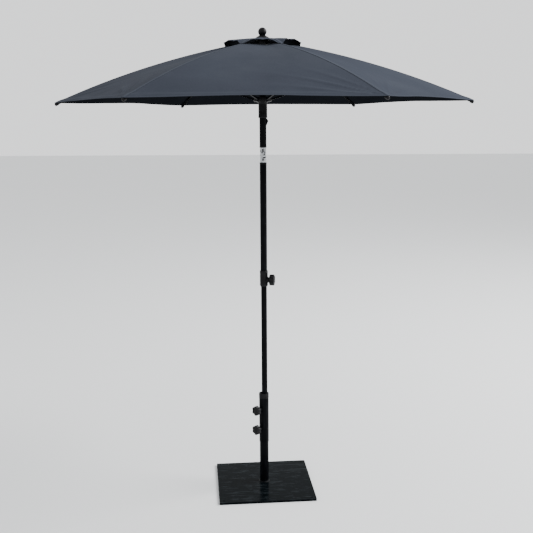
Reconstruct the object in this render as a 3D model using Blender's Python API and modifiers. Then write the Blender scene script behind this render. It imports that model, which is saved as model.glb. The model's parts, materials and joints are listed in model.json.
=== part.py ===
"""Patio umbrella on a steel base plate: a two-part pole with a height clamp, a tilt joint, a sliding
runner, six ribs with struts, a six-sided cover and a vent cap. Metres, +Z up, origin on the floor
on the pole's axis, the first rib along +X."""

import math

import bmesh
import bpy
from mathutils import Matrix, Vector

# Clearances
GAP = 0.0003  # between pieces that touch
SLOT_CLEARANCE = 0.0006  # each side of a bar in its slot
SLIDE_CLEARANCE = 0.0004  # between telescoping tubes
CHAMFER = 0.001
REACH = 0.02  # how far a cutter runs past the metal

# Base: plate, tube, reinforcing sleeve, cap
PLATE_SIDE = 0.46
PLATE_THICKNESS = 0.010
PLATE_CORNER = 0.006
PLATE_HOLE_RADIUS = 0.004
PLATE_HOLE_INSET = 0.021
PLATE_TURN = math.radians(6.7)
BASE_TUBE_RADIUS = 0.0215
BASE_TUBE_WALL = 0.002
BASE_TUBE_TOP = 0.461
WELD_LEG = 0.0055
SLEEVE_WALL = 0.0015
SLEEVE_BOTTOM = 0.217
CAP_WALL = 0.0022
CAP_HEIGHT = 0.024
CAP_LIP = 0.003

# Clamp screws and star knobs
SCREW_RADIUS = 0.004
KNOB_RADIUS = 0.024
KNOB_THICKNESS = 0.021
KNOB_LOBES = 6
KNOB_LOBE_DEPTH = 0.004
KNOB_ROUNDING = 0.003
KNOB_HUB_RADIUS = 0.0085
KNOB_HUB_LENGTH = 0.005
KNOB_SOCKET_DEPTH = 0.012
SCREW_HOLE_REACH = 0.06
BASE_KNOB_HEIGHTS = (0.385, 0.287)
BASE_KNOB_BEARING = math.radians(227)
NUT_RADIUS = 0.0095
NUT_LENGTH = 0.0115
COLLAR_KNOB_HEIGHT = 1.025
COLLAR_KNOB_BEARING = math.radians(-8)
COLLAR_BOSS_RADIUS = 0.0095
COLLAR_BOSS_LENGTH = 0.0075

# Poles
LOWER_POLE_RADIUS = 0.014
LOWER_POLE_WALL = 0.0013
LOWER_POLE_TOP = 1.20
PLUG_FLANGE = 0.004
PLUG_SPIGOT = 0.022
UPPER_TUBE_WALL = 0.0016
UPPER_TUBE_BOTTOM = 1.046
COLLAR_WALL = 0.002
COLLAR_TOP = 1.070
COLLAR_BOTTOM = 0.994
COLLAR_TAPER = 0.010
COLLAR_SHOULDER = 0.003
COLLAR_TOP_WALL = 0.0004
COLLAR_END_WALL = 0.0012

# Tilt joint
TILT_HEIGHT = 1.615
TILT_TURN = math.radians(25)
KNUCKLE_RADIUS = 0.014
KNUCKLE_HALF = 0.034
TONGUE_HALF = 0.007
TILT_PIN_RADIUS = 0.003
SHANK_RADIUS = 0.010
SHANK_LENGTH = 0.036
FERRULE_FLANGE = 0.0075
FERRULE_PROUD = 0.0006
FERRULE_SPIGOT = 0.024
BUTTON_WIDTH = 0.0095
BUTTON_HEIGHT = 0.0035
BUTTON_DEPTH = 0.0050
BUTTON_PROUD = 0.0010
BUTTON_TRAVEL = 0.0016

# Crown and ribs
RIB_COUNT = 6
CROWN_RING_ROOM = 0.014  # from the tube to the wire ring that carries the ribs
CROWN_HEIGHT = 2.122
RING_WIRE = 0.0012
HUB_RIM = 0.008  # outside the wire ring
HUB_BELOW = 0.011
HUB_ABOVE = 0.0085
HUB_EDGE_ABOVE = 0.0050
TUBE_TOP_BELOW_CROWN = 0.002
RIB_LENGTH = 0.970
RIB_START_SLOPE = math.radians(9.0)
RIB_END_SLOPE = math.radians(23.5)
RIB_WIDTH = 0.008
RIB_DEPTH = 0.009
SHEET_STEEL = 0.001  # wall of the channel sections
TIP_WALL = 0.0014
TIP_OVERLAP = 0.012
TIP_END = 0.005
RIB_SOLID_END = 0.020

# Struts
STRUT_JOINT_ARC = 0.450  # along the rib, from the crown ring
STRUT_JOINT_DROP = 0.010  # below the middle of the rib
STRUT_WIDTH = 0.008
STRUT_DEPTH = 0.008
RIVET_RADIUS = 0.0016
RIVET_HEAD_RADIUS = 0.0030
RIVET_HEAD = 0.0008
EAR_WALL = 0.0015
EAR_RADIUS = 0.0042
BRACKET_HALF_LENGTH = 0.011
STRUT_SOLID_INNER = 0.018
STRUT_SOLID_OUTER = 0.014

# Runner
RUNNER_HEIGHT = 1.868  # of the struts' lower ends
RUNNER_CLEARANCE = 0.0013
RUNNER_WALL = 0.003
RUNNER_RING_ROOM = 0.0137  # from the runner's wall to its wire ring
RUNNER_SEAT_ROOM = 0.006  # from the wire ring to the struts' ends
RUNNER_BELOW = 0.083
RUNNER_FLANGE_RIM = 0.0025
RUNNER_FLANGE_HALF = 0.010
RUNNER_FILLET = 0.004
RUNNER_FOOT = 0.006
RUNNER_FOOT_FLARE = 0.0008
RUNNER_KEYWAY = 0.006

# Spring catch under the runner
CATCH_THICKNESS = 0.004
CATCH_PROUD = 0.009
CATCH_HEIGHT = 0.035
CATCH_APEX_BELOW_TOP = 0.0125
CATCH_BELOW_RUNNER = 0.0015
CATCH_TAIL = 0.019

# Cover
CLOTH = 0.001
COVER_CLEARANCE = 0.0014  # over the middle of a rib: the cloth falls away to both of its edges
COVER_INNER_RADIUS = 0.150
COVER_SAG = 0.010
HEM_RISE = 0.012
VENT_INNER_RADIUS = 0.026
VENT_CORNER_RADIUS = 0.175
VENT_LIFT = 0.026
VENT_HEM_RISE = 0.012

# Finial
FINIAL_BALL_RADIUS = 0.0195
FINIAL_BALL_HEIGHT = 2.169
FINIAL_NECK_RADIUS = 0.0125
FINIAL_SKIRT_RADIUS = 0.033
FINIAL_SKIRT_HEIGHT = 0.0165
FINIAL_RIM = 0.003
FINIAL_STEM_RADIUS = 0.004
FINIAL_STEM_LENGTH = 0.018

# Derived values
UPPER_TUBE_BORE = LOWER_POLE_RADIUS + SLIDE_CLEARANCE
UPPER_TUBE_RADIUS = UPPER_TUBE_BORE + UPPER_TUBE_WALL
COLLAR_RADIUS = UPPER_TUBE_RADIUS + COLLAR_WALL
CROWN_RADIUS = UPPER_TUBE_RADIUS + CROWN_RING_ROOM
HUB_RADIUS = CROWN_RADIUS + HUB_RIM
TIP_BORE = math.hypot(RIB_WIDTH, RIB_DEPTH) / 2 + SLIDE_CLEARANCE
RUNNER_BORE = UPPER_TUBE_RADIUS + RUNNER_CLEARANCE
RUNNER_RADIUS = RUNNER_BORE + RUNNER_WALL
RUNNER_RING_RADIUS = RUNNER_RADIUS + RUNNER_RING_ROOM
RUNNER_SEAT_RADIUS = RUNNER_RING_RADIUS + RUNNER_SEAT_ROOM
RUNNER_FLANGE_RADIUS = RUNNER_SEAT_RADIUS + RUNNER_FLANGE_RIM
RUNNER_KEYWAY_END = RUNNER_RING_RADIUS - CHAMFER
BASE_SHIFT = BASE_TUBE_RADIUS - BASE_TUBE_WALL - LOWER_POLE_RADIUS - GAP
BASE_CENTRE = Vector((math.cos(BASE_KNOB_BEARING), math.sin(BASE_KNOB_BEARING), 0)) * BASE_SHIFT
SLEEVE_RADIUS = BASE_TUBE_RADIUS + GAP + SLEEVE_WALL
CAP_BOTTOM = BASE_TUBE_TOP + GAP + CAP_LIP - CAP_HEIGHT
SLEEVE_TOP = CAP_BOTTOM - GAP
PLUG_TOP = PLATE_THICKNESS + GAP + PLUG_FLANGE
FERRULE_BORE = SHANK_RADIUS + GAP
FERRULE_RADIUS = UPPER_TUBE_RADIUS + FERRULE_PROUD
TUBE_GAP_HALF = KNUCKLE_HALF + GAP + FERRULE_FLANGE + GAP
TONGUE_RADIUS = KNUCKLE_RADIUS - GAP
TUBE_TOP = CROWN_HEIGHT - TUBE_TOP_BELOW_CROWN
HUB_BORE = UPPER_TUBE_RADIUS + GAP
RIB_SLOT = RIB_WIDTH / 2 + SLOT_CLEARANCE
RIB_EYE_RADIUS = RIB_DEPTH / 2
STRUT_EYE_RADIUS = STRUT_DEPTH / 2
COVER_OFFSET = RIB_DEPTH / 2 + COVER_CLEARANCE + CLOTH / 2  # of the cloth's middle, above the rib's middle
COVER_OUTER_ARC = RIB_LENGTH - TIP_OVERLAP - 2 * CHAMFER
RUNNER_BOTTOM = RUNNER_HEIGHT - RUNNER_BELOW
CATCH_TOP = RUNNER_BOTTOM - CATCH_BELOW_RUNNER
TURN_STEP = 2 * math.pi / RIB_COUNT


# Scene, collections and materials
for old in list(bpy.data.objects):
    bpy.data.objects.remove(old, do_unlink=True)

PARTS = bpy.data.collections.new("patio_umbrella")
CUTTERS = bpy.data.collections.new("cutters")
bpy.context.scene.collection.children.link(PARTS)
bpy.context.scene.collection.children.link(CUTTERS)


def finish_of(name, colour, roughness, metallic=0.0):
    finish = bpy.data.materials.new(name)
    finish.use_nodes = True
    shader = finish.node_tree.nodes["Principled BSDF"]
    shader.inputs["Base Color"].default_value = (*colour, 1)
    shader.inputs["Roughness"].default_value = roughness
    shader.inputs["Metallic"].default_value = metallic
    return finish


BLACK_STEEL = finish_of("black_powder_coat", (0.012, 0.013, 0.015), 0.42)
PLATE_STEEL = finish_of("plate_powder_coat", (0.022, 0.027, 0.030), 0.38)
BLACK_PLASTIC = finish_of("black_plastic", (0.010, 0.010, 0.011), 0.45)
ZINC = finish_of("zinc_casting", (0.72, 0.72, 0.70), 0.28, 1.0)
BRIGHT_STEEL = finish_of("zinc_plated_steel", (0.55, 0.55, 0.56), 0.32, 1.0)
CLOTH_GREY = finish_of("slate_cloth", (0.075, 0.085, 0.105), 0.85)


# Frames: an empty on each joint's axis. An object hung on one keeps its place in the world.
def joint_frame(name, parent, place, turn=0.0, lean=0.0):
    """An empty at place, its Z axis leaned by lean towards the bearing turn."""
    empty = bpy.data.objects.new(name, None)
    PARTS.objects.link(empty)
    empty.empty_display_size = 0.03
    empty.matrix_basis = (
        Matrix.Translation(place) @ Matrix.Rotation(turn, 4, "Z") @ Matrix.Rotation(lean, 4, "Y")
    )
    if parent:
        hang(empty, parent)
    return empty


def hang(piece, frame):
    piece.parent = frame
    piece.matrix_parent_inverse = frame.matrix_basis.inverted()


def new_piece(name, mesh, finish, frame, basis=None):
    """An object for this mesh. Without a frame it is a cutter, which isn't part of the umbrella."""
    piece = bpy.data.objects.new(name, mesh)
    if basis is not None:
        piece.matrix_basis = basis
    if frame is None:
        CUTTERS.objects.link(piece)
        piece.hide_render = True
        piece.display_type = "WIRE"
        return piece
    PARTS.objects.link(piece)
    if not mesh.materials:
        mesh.materials.append(finish)
    hang(piece, frame)
    return piece


# Shapes
def turned(name, outline, finish, frame, basis=None, closed=True, steps=32):
    """A shape turned round Z. The outline runs down its outer side, and up its bore if it has one."""
    mesh = bpy.data.meshes.new(name)
    count = len(outline)
    edges = [(i, (i + 1) % count) for i in range(count if closed else count - 1)]
    mesh.from_pydata([(r, 0, z) for r, z in outline], edges, [])
    piece = new_piece(name, mesh, finish, frame, basis)
    screw = piece.modifiers.new("turn", "SCREW")
    screw.steps = screw.render_steps = steps
    screw.use_merge_vertices = True
    screw.merge_threshold = 0.00005
    return piece


def tube(name, outer, inner, bottom, top, finish, frame, basis=None, steps=32):
    outline = [(outer, top), (outer, bottom), (inner, bottom), (inner, top)]
    return turned(name, outline, finish, frame, basis, steps=steps)


def rod(name, radius, start, end, finish=None, frame=None, sides=16):
    """A round bar from start to end."""
    start, end = Vector(start), Vector(end)
    shape = bmesh.new()
    bmesh.ops.create_cone(
        shape, cap_ends=True, segments=sides, radius1=radius, radius2=radius, depth=(end - start).length
    )
    turn = (end - start).to_track_quat("Z", "X").to_matrix().to_4x4()
    shape.transform(Matrix.Translation((start + end) / 2) @ turn)
    return new_piece(name, mesh_from(name, shape), finish, frame)


def block(name, low, high, finish=None, frame=None, basis=None):
    """A box between two corners."""
    low, high = Vector(low), Vector(high)
    shape = bmesh.new()
    bmesh.ops.create_cube(shape, size=1)
    size = Matrix.Diagonal((*(high - low), 1))
    shape.transform(Matrix.Translation((low + high) / 2) @ size)
    return new_piece(name, mesh_from(name, shape), finish, frame, basis)


def mesh_from(name, shape):
    mesh = bpy.data.meshes.new(name)
    shape.to_mesh(mesh)
    shape.free()
    return mesh


def sheet_cut(name, outline, thickness, finish=None, frame=None, basis=None, upright=True):
    """A flat outline given thickness, standing in the XZ plane or lying in the XY plane."""
    curve = bpy.data.curves.new(name + "_outline", "CURVE")
    curve.dimensions = "2D"
    curve.fill_mode = "BOTH"
    curve.extrude = thickness / 2
    spline = curve.splines.new("POLY")
    spline.points.add(len(outline) - 1)
    for point, (x, y) in zip(spline.points, outline):
        point.co = (x, y, 0, 1)
    spline.use_cyclic_u = True
    guide = bpy.data.objects.new(name + "_outline", curve)
    CUTTERS.objects.link(guide)
    graph = bpy.context.evaluated_depsgraph_get()
    mesh = bpy.data.meshes.new_from_object(guide.evaluated_get(graph))
    bpy.data.objects.remove(guide, do_unlink=True)
    shape = bmesh.new()
    shape.from_mesh(mesh)
    bpy.data.meshes.remove(mesh)
    bmesh.ops.remove_doubles(shape, verts=shape.verts, dist=0.00001)
    if upright:
        shape.transform(Matrix.Rotation(math.pi / 2, 4, "X"))
    bmesh.ops.recalc_face_normals(shape, faces=shape.faces)
    return new_piece(name, mesh_from(name, shape), finish, frame, basis)


def work(piece, operation, tools, solver):
    for tool in tools:
        boolean = piece.modifiers.new(operation.lower(), "BOOLEAN")
        boolean.operation = operation
        boolean.solver = solver
        boolean.object = tool


def cut(piece, *tools, solver="EXACT"):
    work(piece, "DIFFERENCE", tools, solver)


def join(piece, *tools, solver="EXACT"):
    work(piece, "UNION", tools, solver)


def bevelled(piece, width, segments=2, angle=math.radians(40)):
    bevel = piece.modifiers.new("edges", "BEVEL")
    bevel.width = width
    bevel.segments = segments
    bevel.limit_method = "ANGLE"
    bevel.angle_limit = angle


def arc_points(centre, radius, start, end, count):
    """Points on an arc, in degrees from the outline's first axis."""
    angles = [math.radians(start + (end - start) * i / count) for i in range(count + 1)]
    return [(centre[0] + radius * math.cos(a), centre[1] + radius * math.sin(a)) for a in angles]


def around(step):
    """The turn that takes the first rib's pieces to those of rib step."""
    return Matrix.Rotation(step * TURN_STEP, 4, "Z")


# The rib's curve, in the plane through the pole: distance from the axis, and height
def rib_slope(arc):
    return RIB_START_SLOPE + (RIB_END_SLOPE - RIB_START_SLOPE) * arc / RIB_LENGTH


def rib_point(arc, above=0.0):
    """The point this far along the rib from its pivot, above the rib's middle line."""
    start, end = RIB_START_SLOPE, rib_slope(arc)
    bend = RIB_LENGTH / (RIB_END_SLOPE - RIB_START_SLOPE)
    out = CROWN_RADIUS + bend * (math.sin(end) - math.sin(start)) + above * math.sin(end)
    height = CROWN_HEIGHT - bend * (math.cos(start) - math.cos(end)) + above * math.cos(end)
    return out, height


def arc_at_radius(radius):
    """How far along the rib it is this far from the pole's axis."""
    bend = RIB_LENGTH / (RIB_END_SLOPE - RIB_START_SLOPE)
    slope = math.asin((radius - CROWN_RADIUS) / bend + math.sin(RIB_START_SLOPE))
    return (slope - RIB_START_SLOPE) * bend


STRUT_JOINT = rib_point(STRUT_JOINT_ARC, -STRUT_JOINT_DROP)
STRUT_SEAT = (RUNNER_SEAT_RADIUS, RUNNER_HEIGHT)


# Joint frames
base = joint_frame("base", None, (0, 0, 0))
pole_foot_frame = joint_frame("pole_lift", base, (0, 0, PLATE_THICKNESS))
lower_pole_frame = joint_frame("pole_turn", pole_foot_frame, (0, 0, PLUG_TOP))
upper_frame = joint_frame("height_slide", lower_pole_frame, (0, 0, COLLAR_BOTTOM))
top_frame = joint_frame("tilt_axis", upper_frame, (0, 0, TILT_HEIGHT), turn=TILT_TURN)
button_frame = joint_frame("tilt_button_slide", top_frame, (0, 0, TILT_HEIGHT), turn=TILT_TURN)
runner_frame = joint_frame("runner_slide", top_frame, (0, 0, RUNNER_HEIGHT))
catch_frame = joint_frame("catch_slide", top_frame, (UPPER_TUBE_RADIUS, 0, CATCH_TOP - CATCH_HEIGHT / 2))


# Base
def square_corners(half):
    return [(half, half), (-half, half), (-half, -half), (half, -half)]


def make_base_plate():
    half = PLATE_SIDE / 2
    corner = half - PLATE_CORNER
    outline = []
    for step, (x, y) in enumerate(square_corners(corner)):
        outline += arc_points((x, y), PLATE_CORNER, 90 * step, 90 * step + 90, 5)
    place = Matrix.Translation(BASE_CENTRE + Vector((0, 0, PLATE_THICKNESS / 2)))
    place = place @ Matrix.Rotation(PLATE_TURN, 4, "Z")
    plate = sheet_cut("base_plate", outline, PLATE_THICKNESS, PLATE_STEEL, base, place, upright=False)
    inset = half - PLATE_HOLE_INSET
    reach = Vector((0, 0, REACH))
    for number, (x, y) in enumerate(square_corners(inset), 1):
        middle = place @ Vector((x, y, 0))
        cut(plate, rod(f"plate_hole_cutter_{number}", PLATE_HOLE_RADIUS, middle - reach, middle + reach))


def make_base_tube():
    centre = Matrix.Translation(BASE_CENTRE)
    bottom = PLATE_THICKNESS + GAP
    bore = BASE_TUBE_RADIUS - BASE_TUBE_WALL
    base_tube = tube("base_tube", BASE_TUBE_RADIUS, bore, bottom, BASE_TUBE_TOP, BLACK_STEEL, base, centre)
    inside = BASE_TUBE_RADIUS + GAP
    weld = [
        (inside + WELD_LEG * 0.35, bottom + WELD_LEG),
        (inside + WELD_LEG * 0.62, bottom + WELD_LEG * 0.45),
        (inside + WELD_LEG, bottom + WELD_LEG * 0.12),
        (inside + WELD_LEG, bottom),
        (inside, bottom),
        (inside, bottom + WELD_LEG),
    ]
    turned("base_weld", weld, BLACK_STEEL, base, centre, steps=24)
    sleeve = tube("base_sleeve", SLEEVE_RADIUS, inside, SLEEVE_BOTTOM, SLEEVE_TOP, BLACK_STEEL, base, centre)
    rim = BASE_TUBE_TOP + GAP
    outer = inside + CAP_WALL
    cap = [
        (outer - CHAMFER, rim + CAP_LIP),
        (outer, rim + CAP_LIP - CHAMFER),
        (outer, CAP_BOTTOM),
        (inside, CAP_BOTTOM),
        (inside, rim),
        (bore, rim),
        (bore, rim + CAP_LIP),
    ]
    turned("base_cap", cap, BLACK_PLASTIC, base, centre)
    for number, height in enumerate(BASE_KNOB_HEIGHTS, 1):
        axis = screw_axis(BASE_KNOB_BEARING)
        middle = BASE_CENTRE + Vector((0, 0, height))
        far = middle + axis * SCREW_HOLE_REACH
        hole = rod(f"screw_hole_cutter_{number}", SCREW_RADIUS + GAP, middle, far)
        cut(base_tube, hole)
        cut(sleeve, hole)
        nut = rod(
            f"clamp_nut_{number}", NUT_RADIUS, middle + axis * BASE_TUBE_RADIUS,
            middle + axis * (SLEEVE_RADIUS + GAP + NUT_LENGTH), BLACK_STEEL, base,
        )
        up = Vector((0, 0, REACH))
        seat = rod(f"nut_seat_cutter_{number}", SLEEVE_RADIUS + GAP, middle - up, middle + up, sides=48)
        cut(nut, seat, hole)


def screw_axis(bearing):
    return Vector((math.cos(bearing), math.sin(bearing), 0))


# Clamp screws: a threaded stud moulded into a star knob. Both shapes have their axis along Z.
def knob_outline():
    points = []
    for step in range(KNOB_LOBES * 6):
        angle = 2 * math.pi * step / (KNOB_LOBES * 6)
        radius = KNOB_RADIUS - KNOB_LOBE_DEPTH * (0.5 - 0.5 * math.cos(KNOB_LOBES * angle)) ** 1.6
        points.append((radius * math.cos(angle), radius * math.sin(angle)))
    return points


def make_clamp_screw(knob_name, stud_name, parent, centre, bearing, tip, seat):
    """A stud whose tip is tip from the centre, in a knob whose hub starts seat from the centre."""
    axis = screw_axis(bearing)
    stud_frame = joint_frame(stud_name + "_slide", parent, centre + axis * tip, bearing, math.pi / 2)
    end = seat + KNOB_SOCKET_DEPTH - GAP
    rod(stud_name, SCREW_RADIUS, centre + axis * tip, centre + axis * end, BRIGHT_STEEL, stud_frame)
    knob_frame = joint_frame(knob_name + "_turn", stud_frame, centre + axis * seat, bearing, math.pi / 2)
    lay = knob_frame.matrix_basis
    middle = KNOB_HUB_LENGTH + KNOB_THICKNESS / 2
    head_place = lay @ Matrix.Translation((0, 0, middle))
    knob = sheet_cut(
        knob_name, knob_outline(), KNOB_THICKNESS, BLACK_PLASTIC, knob_frame, head_place, upright=False
    )
    bevelled(knob, KNOB_ROUNDING, 1, math.radians(60))
    hub = rod(
        knob_name + "_hub_cutter", KNOB_HUB_RADIUS, lay.translation, lay @ Vector((0, 0, middle))
    )
    socket = rod(
        knob_name + "_socket_cutter", SCREW_RADIUS + GAP,
        lay @ Vector((0, 0, -REACH)), lay @ Vector((0, 0, KNOB_SOCKET_DEPTH)),
    )
    join(knob, hub)
    cut(knob, socket)


# Poles
def make_lower_pole():
    bottom = PLATE_THICKNESS + GAP
    bore = LOWER_POLE_RADIUS - LOWER_POLE_WALL
    spigot = bore - GAP
    plug = [
        (0, PLUG_TOP + PLUG_SPIGOT),
        (spigot - CHAMFER, PLUG_TOP + PLUG_SPIGOT),
        (spigot, PLUG_TOP + PLUG_SPIGOT - CHAMFER),
        (spigot, PLUG_TOP),
        (LOWER_POLE_RADIUS, PLUG_TOP),
        (LOWER_POLE_RADIUS, bottom + CHAMFER),
        (LOWER_POLE_RADIUS - CHAMFER, bottom),
        (0, bottom),
    ]
    turned("pole_plug", plug, BLACK_PLASTIC, pole_foot_frame, closed=False)
    tube("lower_pole", LOWER_POLE_RADIUS, bore, PLUG_TOP + GAP, LOWER_POLE_TOP, BLACK_STEEL, lower_pole_frame)


def make_upper_pole():
    end = TILT_HEIGHT - TUBE_GAP_HALF
    bottom = UPPER_TUBE_BOTTOM
    tube("upper_tube", UPPER_TUBE_RADIUS, UPPER_TUBE_BORE, bottom, end, BLACK_STEEL, upper_frame)
    step = bottom - GAP
    wide, narrow = UPPER_TUBE_RADIUS + GAP, LOWER_POLE_RADIUS + GAP
    collar_outline = [
        (wide + COLLAR_TOP_WALL, COLLAR_TOP),
        (COLLAR_RADIUS, COLLAR_TOP - COLLAR_SHOULDER),
        (COLLAR_RADIUS, COLLAR_BOTTOM + COLLAR_TAPER),
        (narrow + COLLAR_END_WALL, COLLAR_BOTTOM),
        (narrow, COLLAR_BOTTOM),
        (narrow, step),
        (wide, step),
        (wide, COLLAR_TOP),
    ]
    collar = turned("height_collar", collar_outline, BLACK_PLASTIC, upper_frame)
    middle = Vector((0, 0, COLLAR_KNOB_HEIGHT))
    axis = screw_axis(COLLAR_KNOB_BEARING)
    boss = rod(
        "collar_boss_cutter", COLLAR_BOSS_RADIUS, middle + axis * (narrow + 2 * GAP),
        middle + axis * (COLLAR_RADIUS + COLLAR_BOSS_LENGTH),
    )
    hole = rod("collar_hole_cutter", SCREW_RADIUS + GAP, middle, middle + axis * SCREW_HOLE_REACH)
    join(collar, boss)
    cut(collar, hole)


# Tilt joint, made with the pin along X and turned to its bearing
def make_ferrule(name, side, frame):
    """The black bush between the knuckle and a tube, on the side below (-1) or above (1) the pin."""
    start = KNUCKLE_HALF + GAP
    spigot = UPPER_TUBE_BORE - GAP
    outline = [
        (FERRULE_RADIUS, start),
        (FERRULE_RADIUS, start + FERRULE_FLANGE),
        (spigot, start + FERRULE_FLANGE),
        (spigot, start + FERRULE_FLANGE + FERRULE_SPIGOT),
        (FERRULE_BORE, start + FERRULE_FLANGE + FERRULE_SPIGOT),
        (FERRULE_BORE, start),
    ]
    placed = [(r, TILT_HEIGHT + side * z) for r, z in outline]
    turned(name, placed[::-1] if side > 0 else placed, BLACK_PLASTIC, frame)


def make_tilt_joint():
    turn = Matrix.Translation((0, 0, TILT_HEIGHT)) @ Matrix.Rotation(TILT_TURN, 4, "Z")
    floor = TONGUE_RADIUS + SLOT_CLEARANCE
    slot = TONGUE_HALF + GAP

    def helper(shape):
        shape.matrix_basis = turn
        return shape

    fork_outline = [
        (0, KNUCKLE_RADIUS),
        (KNUCKLE_RADIUS, KNUCKLE_RADIUS),
        (KNUCKLE_RADIUS, -KNUCKLE_HALF),
        (SHANK_RADIUS, -KNUCKLE_HALF),
        (SHANK_RADIUS, -KNUCKLE_HALF - SHANK_LENGTH),
        (0, -KNUCKLE_HALF - SHANK_LENGTH),
    ]
    fork = turned("tilt_fork", fork_outline, ZINC, upper_frame, turn, closed=False)
    slot_cutter = helper(block("fork_slot_cutter", (-slot, -REACH, -floor), (slot, REACH, REACH)))
    pin_hole = helper(rod("tilt_pin_hole_cutter", TILT_PIN_RADIUS + GAP, (-REACH, 0, 0), (REACH, 0, 0)))
    over = helper(block("fork_top_cutter", (-REACH, -REACH, 0), (REACH, REACH, REACH)))
    ends = Vector((2 * REACH, 0, 0))
    cut(over, helper(rod("fork_round_cutter", KNUCKLE_RADIUS, -ends, ends, sides=32)))
    cut(fork, slot_cutter, over, pin_hole)

    shoulder = KNUCKLE_RADIUS + SLOT_CLEARANCE
    tongue_outline = [
        (0, KNUCKLE_HALF + SHANK_LENGTH),
        (SHANK_RADIUS, KNUCKLE_HALF + SHANK_LENGTH),
        (SHANK_RADIUS, KNUCKLE_HALF),
        (KNUCKLE_RADIUS, KNUCKLE_HALF),
        (KNUCKLE_RADIUS, -TONGUE_RADIUS),
        (0, -TONGUE_RADIUS),
    ]
    tongue = turned("tilt_tongue", tongue_outline, ZINC, top_frame, turn, closed=False)
    left = helper(block("tongue_left_cutter", (-REACH, -REACH, -REACH), (-TONGUE_HALF, REACH, shoulder)))
    right = helper(block("tongue_right_cutter", (TONGUE_HALF, -REACH, -REACH), (REACH, REACH, shoulder)))
    under = helper(block("tongue_under_cutter", (-REACH, -REACH, -REACH), (REACH, REACH, 0)))
    cut(under, helper(rod("tongue_round_cutter", TONGUE_RADIUS, -ends, ends, sides=32)))
    front = -math.sqrt(KNUCKLE_RADIUS**2 - (BUTTON_WIDTH / 2) ** 2)
    deep = front + BUTTON_DEPTH
    half_width, half_height = BUTTON_WIDTH / 2, BUTTON_HEIGHT / 2
    pocket = helper(
        block(
            "button_pocket_cutter", (-half_width - GAP, -REACH, -half_height - GAP),
            (half_width + GAP, deep + BUTTON_TRAVEL + GAP, half_height + GAP),
        )
    )
    cut(tongue, left, right, under, pocket, pin_hole)
    button = block(
        "tilt_button", (-half_width, -KNUCKLE_RADIUS - BUTTON_PROUD, -half_height),
        (half_width, deep, half_height), BLACK_PLASTIC, button_frame, turn,
    )
    bevelled(button, CHAMFER / 2, 1)
    pin_end = KNUCKLE_RADIUS - 2 * GAP
    pin = rod("tilt_pin", TILT_PIN_RADIUS, (-pin_end, 0, 0), (pin_end, 0, 0), BRIGHT_STEEL, upper_frame)
    pin.matrix_basis = turn
    make_ferrule("lower_ferrule", -1, upper_frame)
    make_ferrule("upper_ferrule", 1, top_frame)


def make_top_tube():
    bottom = TILT_HEIGHT + TUBE_GAP_HALF
    top_tube = tube("top_tube", UPPER_TUBE_RADIUS, UPPER_TUBE_BORE, bottom, TUBE_TOP, BLACK_STEEL, top_frame)
    half = CATCH_THICKNESS / 2 + SLOT_CLEARANCE
    window = block(
        "catch_window_cutter", (0, -half, CATCH_TOP - CATCH_HEIGHT - SLOT_CLEARANCE),
        (2 * UPPER_TUBE_RADIUS, half, CATCH_TOP + SLOT_CLEARANCE),
    )
    cut(top_tube, window)


def make_catch():
    """A flat spring-loaded tab: a slope below lets the runner up, and its top edge holds it there."""
    apex = (UPPER_TUBE_RADIUS + CATCH_PROUD, CATCH_TOP - CATCH_APEX_BELOW_TOP)
    back = UPPER_TUBE_RADIUS - CATCH_TAIL
    bottom = CATCH_TOP - CATCH_HEIGHT
    corner = 2 * CHAMFER
    outline = [
        (back, bottom + corner),
        (back + corner, bottom),
        (UPPER_TUBE_RADIUS, bottom),
        (apex[0], apex[1] - CHAMFER),
        (apex[0], apex[1] + CHAMFER),
        (UPPER_TUBE_RADIUS + corner, CATCH_TOP),
        (back + corner, CATCH_TOP),
        (back, CATCH_TOP - corner),
    ]
    sheet_cut("runner_catch", outline, CATCH_THICKNESS, BLACK_STEEL, catch_frame)


# Crown
def make_ring(name, radius, height, wire, finish, frame):
    outline = [(radius + r, height + z) for r, z in arc_points((0, 0), wire, 90, -270, 6)[:-1]]
    return turned(name, outline, finish, frame, steps=30)


def make_crown():
    outline = [
        (FINIAL_STEM_RADIUS + GAP, CROWN_HEIGHT + HUB_ABOVE),
        (FINIAL_STEM_RADIUS * 5, CROWN_HEIGHT + HUB_ABOVE),
        (HUB_RADIUS, CROWN_HEIGHT + HUB_EDGE_ABOVE),
        (HUB_RADIUS, CROWN_HEIGHT - HUB_BELOW + 2 * CHAMFER),
        (HUB_RADIUS - 2 * CHAMFER, CROWN_HEIGHT - HUB_BELOW),
        (HUB_BORE, CROWN_HEIGHT - HUB_BELOW),
        (HUB_BORE, TUBE_TOP + GAP),
        (FINIAL_STEM_RADIUS + GAP, TUBE_TOP + GAP),
    ]
    hub = turned("crown_hub", outline, BLACK_PLASTIC, top_frame, steps=24)
    channel = make_ring("crown_channel_cutter", CROWN_RADIUS, CROWN_HEIGHT, RING_WIRE + GAP, None, None)
    cut(hub, channel)
    slot_start = CROWN_RADIUS - RIB_EYE_RADIUS - 2 * SLOT_CLEARANCE
    slot_top = CROWN_HEIGHT + RIB_EYE_RADIUS + 2 * SLOT_CLEARANCE
    for step in range(RIB_COUNT):
        slot = block(
            f"crown_slot_cutter_{step + 1}", (slot_start, -RIB_SLOT, CROWN_HEIGHT - HUB_BELOW - REACH),
            (HUB_RADIUS + REACH, RIB_SLOT, slot_top), basis=around(step),
        )
        cut(hub, slot)
    make_ring("crown_ring", CROWN_RADIUS, CROWN_HEIGHT, RING_WIRE, BRIGHT_STEEL, top_frame)


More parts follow.
